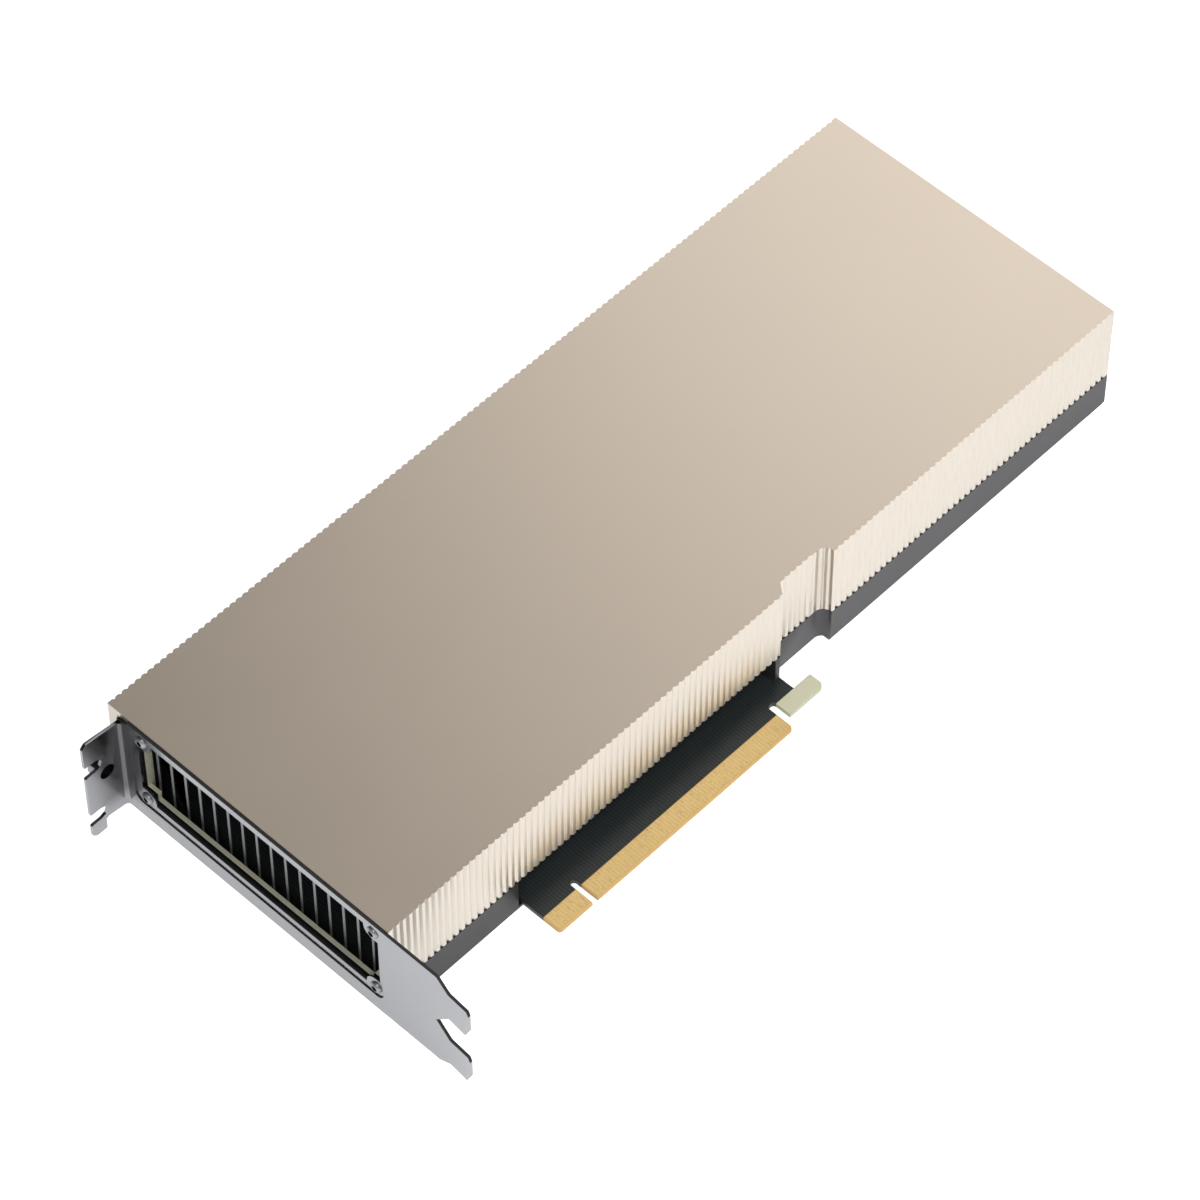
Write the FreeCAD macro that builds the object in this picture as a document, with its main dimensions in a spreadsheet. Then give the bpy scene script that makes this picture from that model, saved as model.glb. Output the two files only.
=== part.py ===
import FreeCAD, Part
import math
import os
import Sketcher

# Full-height, dual-slot accelerator card with a passive heat sink. Millimetres.
# Frame: +X runs from the slot bracket to the air inlet, the edge connector points
# to -Y, +Z is the cover's side. The origin is the middle of the flat back plate.

doc = FreeCAD.newDocument("accelerator_card")
sheet = doc.addObject("Spreadsheet::Sheet", "Sizes")

SIZES = {
    # envelope
    "card_length": 266.7,
    "card_width": 98.1,
    "card_depth": 38.3,
    # cover: ribbed on both long sides, flat on top
    "rail_top": 12.5,
    "roof_thickness": 1.8,
    "wall_thickness": 3.4,
    "rib_count": 123,
    "groove_mouth": 1.3,
    "groove_depth": 0.5,
    # latch notch in the connector side
    "notch_gap": 6.3,
    "notch_length": 19.4,
    "notch_depth": 3.2,
    "notch_ramp": 2.6,
    "notch_round": 2.9,
    "notch_backing": 2.6,
    # tapped bosses for the rear card support
    "support_boss": 6.5,
    "support_boss_depth": 8.0,
    "support_hole_radius": 1.25,
    "support_hole_depth": 6.5,
    # base frame and back plate
    "back_plate_thickness": 1.0,
    "back_plate_inset": 0.4,
    "edge_cut_margin": 1.3,
    "edge_cut_reach": 4.7,
    "post_width": 2.6,
    "rear_sill_depth": 3.4,
    "rear_sill_height": 5.0,
    # circuit board
    "insulator_thickness": 0.3,
    "insulator_margin": 1.0,
    "board_thickness": 1.57,
    "board_clearance": 0.25,
    "board_front": 5.0,
    "tongue_start": 45.3,
    "tongue_reach": 13.05,
    "key_start": 11.65,
    "key_width": 1.9,
    "key_depth": 8.45,
    "tongue_length": 85.2,
    "hook_gap": 2.4,
    "hook_gap_depth": 9.25,
    "hook_front": 9.6,
    "hook_back": 4.6,
    "hook_length": 12.9,
    "hook_root": 6.7,
    "edge_bevel": 0.4,
    "tongue_corner": 0.8,
    "hook_nose": 1.6,
    "board_notch_depth": 6.4,
    "board_notch_margin": 4.4,
    # gold contacts
    "contact_pitch": 1.0,
    "contact_width": 0.7,
    "contact_length": 5.2,
    "contact_thickness": 0.05,
    "contact_setback": 0.55,
    "short_contacts": 11,
    "long_contacts": 71,
    # slot bracket, one folded sheet
    "sheet_thickness": 0.9,
    "bend_radius": 1.2,
    "plate_bottom": 1.2,
    "plate_top": 37.9,
    "flange_setback": 4.9,
    "flange_length": 12.4,
    "flange_corner": 1.3,
    "flange_top_near": 35.6,
    "flange_top_far": 37.2,
    "flange_lobe_bottom": -2.0,
    "flange_lobe_width": 4.8,
    "flange_step": 2.1,
    "slot_width": 4.42,
    "slot_depth": 5.6,
    "slot_pitch": 20.32,
    "slot_level": 5.6,
    "flange_hole_radius": 2.3,
    "flange_hole_level": 20.26,
    "flange_hole_reach": 5.5,
    "flange_collar_wall": 0.8,
    "flange_collar_height": 3.0,
    "flange_collar_cap": 0.4,
    "bend_relief_width": 2.2,
    "bend_relief_depth": 1.3,
    "bend_relief_ramp": 0.6,
    "prong_level": 7.58,
    "prong_reach": 27.5,
    "prong_root": 20.75,
    "prong_gap_depth": 16.3,
    "prong_shoulder": 17.0,
    "prong_half": 6.1,
    "prong_taper": 1.0,
    "prong_round": 1.6,
    # outlet window and its surround
    "window_near": 3.4,
    "window_far_margin": 10.8,
    "window_bottom": 9.2,
    "window_top": 34.8,
    "lobe_radius": 3.3,
    "screw_inset_y": 1.5,
    "screw_inset_z": 0.7,
    "emboss_margin": 2.6,
    "emboss_depth": 0.35,
    "emboss_round": 2.6,
    # seal, front frame and grille behind the window
    "gasket_thickness": 0.8,
    "gasket_margin": 3.0,
    "gasket_gap": 0.4,
    "sill_depth": 1.6,
    "leg_depth": 3.6,
    "front_frame_play": 0.15,
    "boss_reach": 2.1,
    "grille_thickness": 0.6,
    "bar_count": 16,
    "bar_width": 0.9,
    "first_bar_gap": 5.0,
    "last_bar_gap": 3.3,
    "grille_top_rail": 2.6,
    "grille_top_drop": 1.2,
    "grille_foot_gap": 0.4,
    "grille_foot_rail": 1.2,
    # heat sink
    "sink_front": 12.0,
    "sink_rear_gap": 9.5,
    "sink_bottom": 9.6,
    "sink_base": 3.0,
    "sink_wall_gap": 4.05,
    "fin_count": 34,
    "fin_thickness": 0.7,
    "fin_top_gap": 0.3,
    "socket_clearance": 2.5,
    "cold_plate_margin": 5.0,
    "cold_plate_corner": 2.0,
    # processor package
    "package_centre": 112.0,
    "package_side": 55.0,
    "substrate_height": 2.0,
    "die_length": 26.0,
    "die_width": 32.0,
    "die_height": 0.8,
    "stack_length": 8.0,
    "stack_width": 11.0,
    "stack_gap": 1.0,
    "stack_pitch": 12.0,
    "stiffener_width": 4.0,
    "stiffener_height": 0.5,
    # power parts
    "inductor_side": 8.0,
    "inductor_height": 6.0,
    "inductor_corner": 0.8,
    "inductor_pitch": 9.5,
    "inductors_per_row": 8,
    "inductor_gap": 1.5,
    "stage_length": 5.0,
    "stage_width": 6.0,
    "stage_height": 0.9,
    "stage_gap": 2.5,
    "capacitor_radius": 3.1,
    "capacitor_height": 5.8,
    "capacitor_gap": 0.9,
    "choke_side": 12.0,
    "choke_height": 6.2,
    "choke_pitch": 14.0,
    "choke_rear_gap": 38.0,
    # small chips
    "controller_side": 12.0,
    "controller_height": 1.1,
    "controller_gap": 22.0,
    "flash_length": 8.0,
    "flash_width": 6.0,
    "flash_height": 1.0,
    "flash_gap": 5.0,
    # power socket at the air inlet
    "socket_width": 21.4,
    "socket_depth": 17.0,
    "socket_height": 10.6,
    "socket_rear_gap": 0.6,
    "socket_side_gap": 0.6,
    "cavity_side": 3.6,
    "cavity_pitch": 4.2,
    "cavity_depth": 13.0,
    "cavity_columns": 4,
    "latch_ramp_width": 6.0,
    "latch_ramp_height": 1.4,
    "latch_ramp_length": 5.0,
    "pin_side": 1.1,
    "pin_length": 9.0,
    # fasteners
    "screw_radius": 0.9,
    "screw_clearance": 0.1,
    "flat_head_radius": 1.55,
    "round_head_radius": 1.8,
    "round_head_height": 0.9,
    "drive_radius": 0.7,
    "drive_depth": 0.5,
    "bracket_screw_length": 2.8,
    "rail_screw_length": 16.0,
    "rail_screw_end_gap": 16.0,
    "rail_screw_inset": 2.2,
    "standoff_radius": 2.4,
    "standoff_front": 20.0,
    "standoff_rear_gap": 34.0,
    "standoff_wall_gap": 3.4,
    "clamp_screw_length": 8.0,
    "clamp_head_radius": 2.6,
    "clamp_head_height": 0.7,
    "clamp_gap_x": 3.5,
    "clamp_inset_y": 1.5,
}

for row, (alias, number) in enumerate(SIZES.items(), start=1):
    sheet.set(f"A{row}", alias)
    sheet.set(f"B{row}", str(number))
    sheet.setAlias(f"B{row}", alias)
doc.recompute()


class Size:
    """A length that knows both its number and the sheet formula it comes from."""

    def __init__(self, number, formula):
        self.number = number
        self.formula = formula

    def __add__(self, other):
        other = size(other)
        return Size(self.number + other.number, f"({self.formula} + {other.formula})")

    def __sub__(self, other):
        other = size(other)
        return Size(self.number - other.number, f"({self.formula} - {other.formula})")

    def __mul__(self, other):
        other = size(other)
        return Size(self.number * other.number, f"({self.formula} * {other.formula})")

    def __truediv__(self, other):
        other = size(other)
        return Size(self.number / other.number, f"({self.formula} / {other.formula})")

    def __neg__(self):
        return Size(-self.number, f"(0 - {self.formula})")

    __radd__ = __add__


def size(value):
    if isinstance(value, Size):
        return value
    return Size(float(value), f"{value:g}" if value >= 0 else f"(0 - {-value:g})")


def cell(alias):
    """The size kept in the sheet under this alias."""
    return Size(float(sheet.get(alias)), f"Sizes.{alias}")


def along(distance):
    """Position along the card, measured from the bracket end of the cover."""
    return size(distance) - cell("card_length") / 2


def across(distance):
    """Position across the card, measured from the cover's connector side."""
    return size(distance) - cell("card_width") / 2


FRONT = along(0)
REAR = along(cell("card_length"))
NEAR = across(0)
FAR = across(cell("card_width"))
INNER_NEAR = NEAR + cell("wall_thickness")
INNER_FAR = FAR - cell("wall_thickness")
ROOF_UNDER = cell("card_depth") - cell("roof_thickness")
BOARD_BOTTOM = cell("back_plate_thickness") + cell("insulator_thickness")
BOARD_TOP = BOARD_BOTTOM + cell("board_thickness")
TONGUE = along(cell("tongue_start"))
TIP = TONGUE + cell("tongue_length")
HOOK = TIP + cell("hook_gap")
HOOK_END = HOOK + cell("hook_length")
NOTCH_START = HOOK + cell("notch_gap")
NOTCH_END = NOTCH_START + cell("notch_length")
FLANGE_INNER = FAR - cell("flange_setback")
WINDOW_NEAR = across(cell("window_near"))
WINDOW_FAR = FAR - cell("window_far_margin")
SINK_HALF = (INNER_FAR - INNER_NEAR) / 2 - cell("sink_wall_gap")
PACKAGE = along(cell("package_centre"))
CLAMP_X = cell("package_side") / 2 + cell("clamp_gap_x")
CLAMP_Y = cell("package_side") / 2 - cell("clamp_inset_y")
STAGE_X = CLAMP_X + cell("stage_gap") + cell("stage_length") / 2
INDUCTOR_X = STAGE_X + cell("stage_length") / 2 + cell("inductor_gap") + cell("inductor_side") / 2
CAPACITOR_X = INDUCTOR_X + cell("inductor_side") / 2 + cell("capacitor_gap") + cell("capacitor_radius")
CONTROLLER_X = CAPACITOR_X + cell("capacitor_radius") + cell("controller_gap")
FLASH_X = CONTROLLER_X + cell("controller_side") / 2 + cell("flash_gap") + cell("flash_length") / 2
STANDOFF_ROWS = (INNER_NEAR + cell("standoff_wall_gap"), INNER_FAR - cell("standoff_wall_gap"))

nodes = []


# ---------------------------------------------------------------- helpers

def new_body(name):
    body = doc.addObject("PartDesign::Body", name)
    body.Label = name
    nodes.append(body)
    return body


def bind(target, prop, value):
    target.setExpression(prop, size(value).formula)


def origin_plane(body, role):
    return next(item for item in body.Origin.OriginFeatures if item.Role == role)


def new_sketch(body, name, role, level=0):
    """A sketch on one of the body's own origin planes, lifted to a level."""
    sketch = body.newObject("Sketcher::SketchObject", name)
    sketch.AttachmentSupport = [(origin_plane(body, role), "")]
    sketch.MapMode = "FlatFace"
    lift = -size(level) if role == "XZ_Plane" else size(level)
    sketch.AttachmentOffset = FreeCAD.Placement(FreeCAD.Vector(0, 0, lift.number), FreeCAD.Rotation())
    bind(sketch, "AttachmentOffset.Base.z", lift)
    return sketch


def pin_point(sketch, geometry, point, x, y):
    """Hold one sketch point at sheet-driven coordinates."""
    across_x = sketch.addConstraint(Sketcher.Constraint("DistanceX", -1, 1, geometry, point, x.number))
    bind(sketch, f"Constraints[{across_x}]", x)
    across_y = sketch.addConstraint(Sketcher.Constraint("DistanceY", -1, 1, geometry, point, y.number))
    bind(sketch, f"Constraints[{across_y}]", y)


def draw_outline(sketch, corners):
    """A closed outline of straight lines through the corners."""
    corners = [(size(x), size(y)) for x, y in corners]
    points = [FreeCAD.Vector(x.number, y.number, 0) for x, y in corners]
    first = sketch.GeometryCount
    count = len(points)
    lines = [Part.LineSegment(points[i], points[(i + 1) % count]) for i in range(count)]
    sketch.addGeometry(lines, False)
    joints = [Sketcher.Constraint("Coincident", first + i, 2, first + (i + 1) % count, 1)
              for i in range(count)]
    sketch.addConstraint(joints)
    for i, (x, y) in enumerate(corners):
        pin_point(sketch, first + i, 1, x, y)


def draw_rectangle(sketch, x_low, y_low, x_high, y_high):
    draw_outline(sketch, [(x_low, y_low), (x_high, y_low), (x_high, y_high), (x_low, y_high)])


def draw_circle(sketch, x, y, radius):
    x, y, radius = size(x), size(y), size(radius)
    centre = FreeCAD.Vector(x.number, y.number, 0)
    index = sketch.addGeometry(Part.Circle(centre, FreeCAD.Vector(0, 0, 1), radius.number), False)
    pin_point(sketch, index, 3, x, y)
    ring = sketch.addConstraint(Sketcher.Constraint("Radius", index, radius.number))
    bind(sketch, f"Constraints[{ring}]", radius)


def draw_hexagon(sketch, x, y, radius, first_angle):
    """A six-sided outline, for the bore that a plain six-sided shank sits in."""
    turns = [math.radians(first_angle + 60 * i) for i in range(6)]
    draw_outline(sketch, [(x + radius * math.cos(a), y + radius * math.sin(a)) for a in turns])


def pad(body, sketch, length, name, reverse=False):
    feature = body.newObject("PartDesign::Pad", name)
    feature.Profile = sketch
    feature.Reversed = reverse
    bind(feature, "Length", length)
    doc.recompute()
    return feature


def pocket(body, sketch, name, length=None, reverse=False):
    """Cut the sketch out: right through both ways, or to a depth."""
    before = body.Shape.Volume
    feature = body.newObject("PartDesign::Pocket", name)
    feature.Profile = sketch
    if length is None:
        feature.Type = "ThroughAll"
        feature.Midplane = True
    else:
        feature.Reversed = reverse
        bind(feature, "Length", length)
    doc.recompute()
    if not body.Shape.Volume < before:
        raise RuntimeError(f"{name} in {body.Label} cuts nothing")
    return feature


def edge_names(shape, test):
    return [f"Edge{i}" for i, edge in enumerate(shape.Edges, start=1) if test(edge)]


def upright(edge, axis):
    """True for a straight edge along the named axis."""
    if len(edge.Vertexes) != 2:
        return False
    step = edge.Vertexes[1].Point - edge.Vertexes[0].Point
    return abs(abs(getattr(step, axis)) - edge.Length) < 1e-6


def passes(edge, **places):
    """True where the edge's middle has the given coordinates."""
    middle = edge.BoundBox.Center
    return all(abs(getattr(middle, key) - size(value).number) < 0.02 for key, value in places.items())


def dress(body, kind, test, amount, name):
    """Fillet or chamfer the edges that pass the test."""
    base = body.Tip
    chosen = edge_names(base.Shape, test)
    if not chosen:
        raise RuntimeError(f"{name} finds no edge")
    feature = body.newObject(f"PartDesign::{kind}", name)
    feature.Base = (base, chosen)
    bind(feature, "Radius" if kind == "Fillet" else "Size", amount)
    doc.recompute()
    if "Invalid" in feature.State:
        raise RuntimeError(f"{name} in {body.Label} does not build")
    return feature


def repeat_along_x(body, feature, sketch, pitch, count, name):
    pattern = body.newObject("PartDesign::LinearPattern", name)
    pattern.Originals = [feature]
    pattern.Direction = (sketch, ["H_Axis"])
    bind(pattern, "Length", size(pitch) * (size(count) - 1))
    bind(pattern, "Occurrences", count)
    body.Tip = pattern
    doc.recompute()
    return pattern


def block(name, low, high):
    """A Part box between two sheet-driven corners."""
    box = doc.addObject("Part::Box", name)
    low = [size(value) for value in low]
    high = [size(value) for value in high]
    for prop, start, end in zip(("Length", "Width", "Height"), low, high):
        bind(box, prop, end - start)
    for key, start in zip("xyz", low):
        bind(box, f"Placement.Base.{key}", start)
    doc.recompute()
    return box


def chip(name, centre_x, centre_y, length, width, height, level=None):
    """A rectangular part that sits flat on the board or on another level."""
    level = BOARD_TOP if level is None else level
    half_length, half_width = size(length) / 2, size(width) / 2
    return block(name, (centre_x - half_length, centre_y - half_width, level),
                 (centre_x + half_length, centre_y + half_width, level + height))


def keep(item, label):
    item.Label = label
    nodes.append(item)


def group(label, shapes):
    """Several like solids kept as one node."""
    item = doc.addObject("Part::Feature", label)
    item.Shape = Part.makeCompound(shapes)
    keep(item, label)


def number(alias):
    return cell(alias).number


def point(x, y, z):
    return FreeCAD.Vector(size(x).number, size(y).number, size(z).number)


# ---------------------------------------------------------------- shared outlines

def notched_side(inset, ramp_end):
    """Points of the connector side, from front to rear, round the latch notch."""
    floor = NEAR + cell("notch_depth")
    return [(NOTCH_START, NEAR + inset), (NOTCH_START + ramp_end, floor + inset),
            (NOTCH_END, floor + inset), (NOTCH_END, NEAR + inset)]


def notch_profile(sketch):
    """The notch as a closed cutting outline, open to the connector side."""
    floor = NEAR + cell("notch_depth")
    draw_outline(sketch, [(NOTCH_START, NEAR - 1), (NOTCH_START, NEAR),
                          (NOTCH_START + cell("notch_ramp"), floor), (NOTCH_END, floor),
                          (NOTCH_END, NEAR - 1)])


def notch_backing(sketch):
    """Thicker wall behind the notch, which keeps the cover closed there."""
    margin = cell("wall_thickness")
    draw_rectangle(sketch, NOTCH_START - margin, INNER_NEAR - 0.5, NOTCH_END + margin,
                   NEAR + cell("notch_depth") + cell("notch_backing"))


def round_notch(body, name):
    """Round the notch's rear inner corner."""
    corner = {"x": NOTCH_END, "y": NEAR + cell("notch_depth")}
    dress(body, "Fillet", lambda e: upright(e, "z") and passes(e, **corner), cell("notch_round"), name)


# ---------------------------------------------------------------- cover

def make_shroud():
    body = new_body("shroud")
    outline = new_sketch(body, "shroud_outline", "XY_Plane", cell("rail_top"))
    draw_rectangle(outline, FRONT, NEAR, REAR, FAR)
    pad(body, outline, cell("card_depth") - cell("rail_top"), "shroud_block")
    duct = new_sketch(body, "duct_outline", "YZ_Plane", FRONT)
    draw_rectangle(duct, INNER_NEAR, cell("rail_top") - 1, INNER_FAR, ROOF_UNDER)
    pocket(body, duct, "duct")
    backing = new_sketch(body, "backing_outline", "XY_Plane", cell("rail_top"))
    notch_backing(backing)
    pad(body, backing, ROOF_UNDER - cell("rail_top") + 0.5, "notch_backing_wall")
    boss = cell("support_boss")
    bosses = new_sketch(body, "support_boss_outline", "YZ_Plane", REAR)
    for low, high in ((INNER_NEAR - 0.5, INNER_NEAR + boss), (INNER_FAR - boss, INNER_FAR + 0.5)):
        draw_rectangle(bosses, low, cell("rail_top"), high, cell("rail_top") + boss)
        draw_rectangle(bosses, low, ROOF_UNDER - boss, high, ROOF_UNDER + 0.5)
    pad(body, bosses, cell("support_boss_depth"), "support_bosses", reverse=True)
    holes = new_sketch(body, "support_hole_places", "YZ_Plane", REAR)
    for y in (INNER_NEAR + boss / 2, INNER_FAR - boss / 2):
        for z in (cell("rail_top") + boss / 2, ROOF_UNDER - boss / 2):
            draw_circle(holes, y, z, cell("support_hole_radius"))
    pocket(body, holes, "support_holes", cell("support_hole_depth"))
    notch = new_sketch(body, "notch_outline", "XY_Plane", cell("rail_top"))
    notch_profile(notch)
    pocket(body, notch, "latch_notch")
    round_notch(body, "notch_corner")
    screws = new_sketch(body, "rail_screw_holes", "XY_Plane", cell("rail_top"))
    for x, y in rail_screw_places():
        draw_hexagon(screws, x, y, cell("screw_radius"), 0)
    depth = cell("rail_screw_length") - cell("rail_top") + cell("screw_clearance")
    pocket(body, screws, "rail_screw_bores", depth, reverse=True)
    pitch = cell("card_length") / cell("rib_count")
    groove = new_sketch(body, "groove_outline", "XY_Plane", cell("rail_top"))
    draw_groove(groove, FRONT + pitch, NEAR, 1)
    draw_groove(groove, FRONT + pitch, FAR, -1)
    first = pocket(body, groove, "first_grooves")
    repeat_along_x(body, first, groove, pitch, cell("rib_count") - 1, "grooves")
    start = NOTCH_START + cell("notch_ramp") + pitch
    room = number("notch_length") - number("notch_ramp") - number("notch_round")
    count = max(2, int(room / pitch.number) - 1)
    inner = new_sketch(body, "notch_groove_outline", "XY_Plane", cell("rail_top"))
    draw_groove(inner, start, NEAR + cell("notch_depth"), 1)
    first_inner = pocket(body, inner, "first_notch_groove")
    repeat_along_x(body, first_inner, inner, pitch, count, "notch_grooves")


def draw_groove(sketch, middle, side, inward):
    """One upright groove cut into a side of the cover."""
    mouth, depth = cell("groove_mouth") / 2, cell("groove_depth")
    draw_outline(sketch, [(middle - mouth, side - 0.3 * inward), (middle - mouth, side),
                          (middle, side + depth * inward),
                          (middle + mouth, side), (middle + mouth, side - 0.3 * inward)])


def rail_screw_places():
    """Screws that come up through the rails into the cover's walls."""
    gap = cell("rail_screw_end_gap")
    inset = cell("rail_screw_inset")
    columns = (FRONT + gap, REAR - gap)
    return [(x, y) for x in columns for y in (NEAR + inset, FAR - inset)]


# ---------------------------------------------------------------- base frame and back plate

def make_base_frame():
    body = new_body("base_frame")
    bottom = cell("back_plate_thickness")
    outline = new_sketch(body, "frame_outline", "XY_Plane", bottom)
    draw_rectangle(outline, FRONT, NEAR, REAR, FAR)
    draw_rectangle(outline, FRONT + cell("rear_sill_depth"), INNER_NEAR,
                   REAR - cell("rear_sill_depth"), INNER_FAR)
    pad(body, outline, cell("rail_top") - bottom, "frame_ring")
    ends = new_sketch(body, "frame_end_cuts", "YZ_Plane", FRONT)
    draw_rectangle(ends, INNER_NEAR, cell("rear_sill_height"), INNER_FAR, cell("rail_top") + 1)
    pocket(body, ends, "frame_ends")
    backing = new_sketch(body, "frame_backing_outline", "XY_Plane", BOARD_TOP + cell("board_clearance"))
    notch_backing(backing)
    pad(body, backing, cell("rail_top") - BOARD_TOP - cell("board_clearance"), "frame_backing_wall")
    notch = new_sketch(body, "frame_notch_outline", "XY_Plane", bottom)
    notch_profile(notch)
    pocket(body, notch, "frame_notch")
    round_notch(body, "frame_notch_corner")
    opening = new_sketch(body, "edge_opening", "XZ_Plane", NEAR - 1)
    start, end = TONGUE - cell("edge_cut_margin"), HOOK + cell("edge_cut_reach")
    post = end + cell("post_width")
    over_board = BOARD_TOP + cell("board_clearance")
    draw_outline(opening, [(start, bottom - 1), (post, bottom - 1), (post, over_board),
                           (end, over_board), (end, cell("rail_top") + 1),
                           (start, cell("rail_top") + 1)])
    depth = 1 + cell("notch_depth") + cell("notch_backing") + cell("board_clearance")
    pocket(body, opening, "edge_cut", depth)
    socket = new_sketch(body, "socket_opening", "YZ_Plane", REAR + 1)
    low = socket_low() - 0.4
    draw_rectangle(socket, low, BOARD_TOP, low + cell("socket_width") + 0.8, cell("rail_top"))
    pocket(body, socket, "socket_cut", cell("rear_sill_depth") + 2)
    screws = new_sketch(body, "frame_screw_holes", "XY_Plane", bottom)
    for x, y in rail_screw_places():
        draw_circle(screws, x, y, cell("screw_radius") + cell("screw_clearance"))
    pocket(body, screws, "frame_screw_bores")


def make_back_plate():
    body = new_body("back_plate")
    inset = cell("back_plate_inset")
    outline = new_sketch(body, "back_outline", "XY_Plane", 0)
    corners = [(FRONT + inset, NEAR + inset)]
    corners += notched_side(inset, cell("notch_ramp"))
    corners += [(REAR - inset, NEAR + inset), (REAR - inset, FAR - inset), (FRONT + inset, FAR - inset)]
    draw_outline(outline, corners)
    pad(body, outline, cell("back_plate_thickness"), "back_sheet")
    holes = new_sketch(body, "back_screw_holes", "XY_Plane", 0)
    for x, y in rail_screw_places():
        draw_circle(holes, x, y, cell("screw_radius") + cell("screw_clearance"))
    pocket(body, holes, "back_screw_bores")
    sink = cell("flat_head_radius") - cell("screw_radius")
    radius = number("screw_radius") + number("screw_clearance")
    dress(body, "Chamfer", lambda e: e.BoundBox.ZMax < 0.01 and is_ring(e, radius), sink,
          "back_countersinks")
    clamps = new_sketch(body, "clamp_openings", "XY_Plane", 0)
    reach = cell("clamp_head_radius") + cell("insulator_margin") / 2
    for x, y in clamp_places():
        cut = reach * 0.6
        draw_outline(clamps, [(x - reach, y - cut), (x - cut, y - reach), (x + cut, y - reach),
                              (x + reach, y - cut), (x + reach, y + cut), (x + cut, y + reach),
                              (x - cut, y + reach), (x - reach, y + cut)])
    pocket(body, clamps, "clamp_cuts")


def is_ring(edge, radius):
    curve = edge.Curve
    return hasattr(curve, "Radius") and abs(curve.Radius - radius) < 1e-4


def make_insulator():
    """A film between the screw rows, cut away behind the processor."""
    body = new_body("insulating_sheet")
    outline = new_sketch(body, "insulator_outline", "XY_Plane", cell("back_plate_thickness"))
    margin = cell("insulator_margin")
    side = cell("standoff_radius")
    reach = cell("clamp_head_radius") + margin
    draw_rectangle(outline, FRONT + cell("rear_sill_depth") + margin, STANDOFF_ROWS[0] + side,
                   REAR - cell("rear_sill_depth") - margin, STANDOFF_ROWS[1] - side)
    draw_rectangle(outline, PACKAGE - CLAMP_X - reach, -CLAMP_Y - reach, PACKAGE + CLAMP_X + reach,
                   CLAMP_Y + reach)
    pad(body, outline, cell("insulator_thickness"), "insulator_film")


# ---------------------------------------------------------------- circuit board

def standoff_places():
    """Posts that carry the heat sink above the board."""
    columns = (along(cell("standoff_front")), REAR - cell("standoff_rear_gap"))
    return [(x, y) for x in columns for y in STANDOFF_ROWS]


def clamp_places():
    """The four screws that clamp the cold plate onto the processor."""
    return [(PACKAGE + CLAMP_X * i, CLAMP_Y * j) for i in (-1, 1) for j in (-1, 1)]


def make_board():
    body = new_body("circuit_board")
    side = INNER_NEAR + cell("board_clearance")
    edge = NEAR - cell("tongue_reach")
    key = TONGUE + cell("key_start")
    key_floor = edge + cell("key_depth")
    hook_front, hook_back = NEAR - cell("hook_front"), NEAR - cell("hook_back")
    right = HOOK + cell("hook_root")
    notch_floor = NEAR + cell("board_notch_depth")
    notch_end = NOTCH_END + cell("board_notch_margin")
    rear = REAR - cell("rear_sill_depth") - cell("board_clearance")
    far = INNER_FAR - cell("board_clearance")
    outline = new_sketch(body, "board_outline", "XY_Plane", BOARD_BOTTOM)
    draw_outline(outline, [
        (along(cell("board_front")), side), (TONGUE, side), (TONGUE, edge), (key, edge),
        (key, key_floor), (key + cell("key_width"), key_floor), (key + cell("key_width"), edge),
        (TIP, edge), (TIP, edge + cell("hook_gap_depth")), (HOOK, edge + cell("hook_gap_depth")),
        (HOOK, hook_front), (HOOK_END, hook_front), (HOOK_END, hook_back), (right, hook_back),
        (right, notch_floor),
        (notch_end, notch_floor), (notch_end, side), (rear, side), (rear, far),
        (along(cell("board_front")), far)])
    pad(body, outline, cell("board_thickness"), "board_sheet")
    dress(body, "Chamfer", lambda e: upright(e, "z") and (passes(e, x=TONGUE, y=edge)
                                                          or passes(e, x=TIP, y=edge)),
          cell("tongue_corner"), "tongue_corners")
    bevel_levels = (BOARD_BOTTOM.number, BOARD_TOP.number)
    dress(body, "Chamfer", lambda e: passes(e, y=edge) and upright(e, "x")
          and any(abs(e.BoundBox.Center.z - level) < 0.01 for level in bevel_levels),
          cell("edge_bevel"), "edge_bevel")
    for name, radius, x, y in (("key_round", cell("key_width") * 0.48, key + cell("key_width") / 2, key_floor),
                               ("hook_gap_round", cell("hook_gap") * 0.4, TIP + cell("hook_gap") / 2,
                                edge + cell("hook_gap_depth")),
                               ("hook_nose", cell("hook_nose"), HOOK_END, hook_front)):
        spread = max(number("key_width"), number("hook_gap")) / 2 + 0.05
        dress(body, "Fillet", lambda e: upright(e, "z") and passes(e, y=y)
              and abs(e.BoundBox.Center.x - x.number) < spread, radius, name)
    holes = new_sketch(body, "board_holes", "XY_Plane", BOARD_BOTTOM)
    for x, y in clamp_places():
        draw_circle(holes, x, y, cell("screw_radius") + cell("screw_clearance"))
    pocket(body, holes, "board_bores")


def contact_starts():
    """Left edges of all contacts, short block then long block."""
    pitch, width = number("contact_pitch"), number("contact_width")
    tongue = TONGUE.number
    short = tongue + (number("key_start") - number("short_contacts") * pitch + pitch - width) / 2
    key_end = number("key_start") + number("key_width")
    room = number("tongue_length") - key_end
    spare = room - number("long_contacts") * pitch + pitch - width
    long_block = tongue + key_end + spare / 2
    starts = [short + i * pitch for i in range(int(number("short_contacts")))]
    return starts + [long_block + i * pitch for i in range(int(number("long_contacts")))]


def make_contacts(label, level):
    width, length, thick = (number("contact_width"), number("contact_length"),
                            number("contact_thickness"))
    y = (NEAR - cell("tongue_reach") + cell("contact_setback")).number
    group(label, [Part.makeBox(width, length, thick, FreeCAD.Vector(x, y, level))
                  for x in contact_starts()])


# ---------------------------------------------------------------- slot bracket

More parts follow.
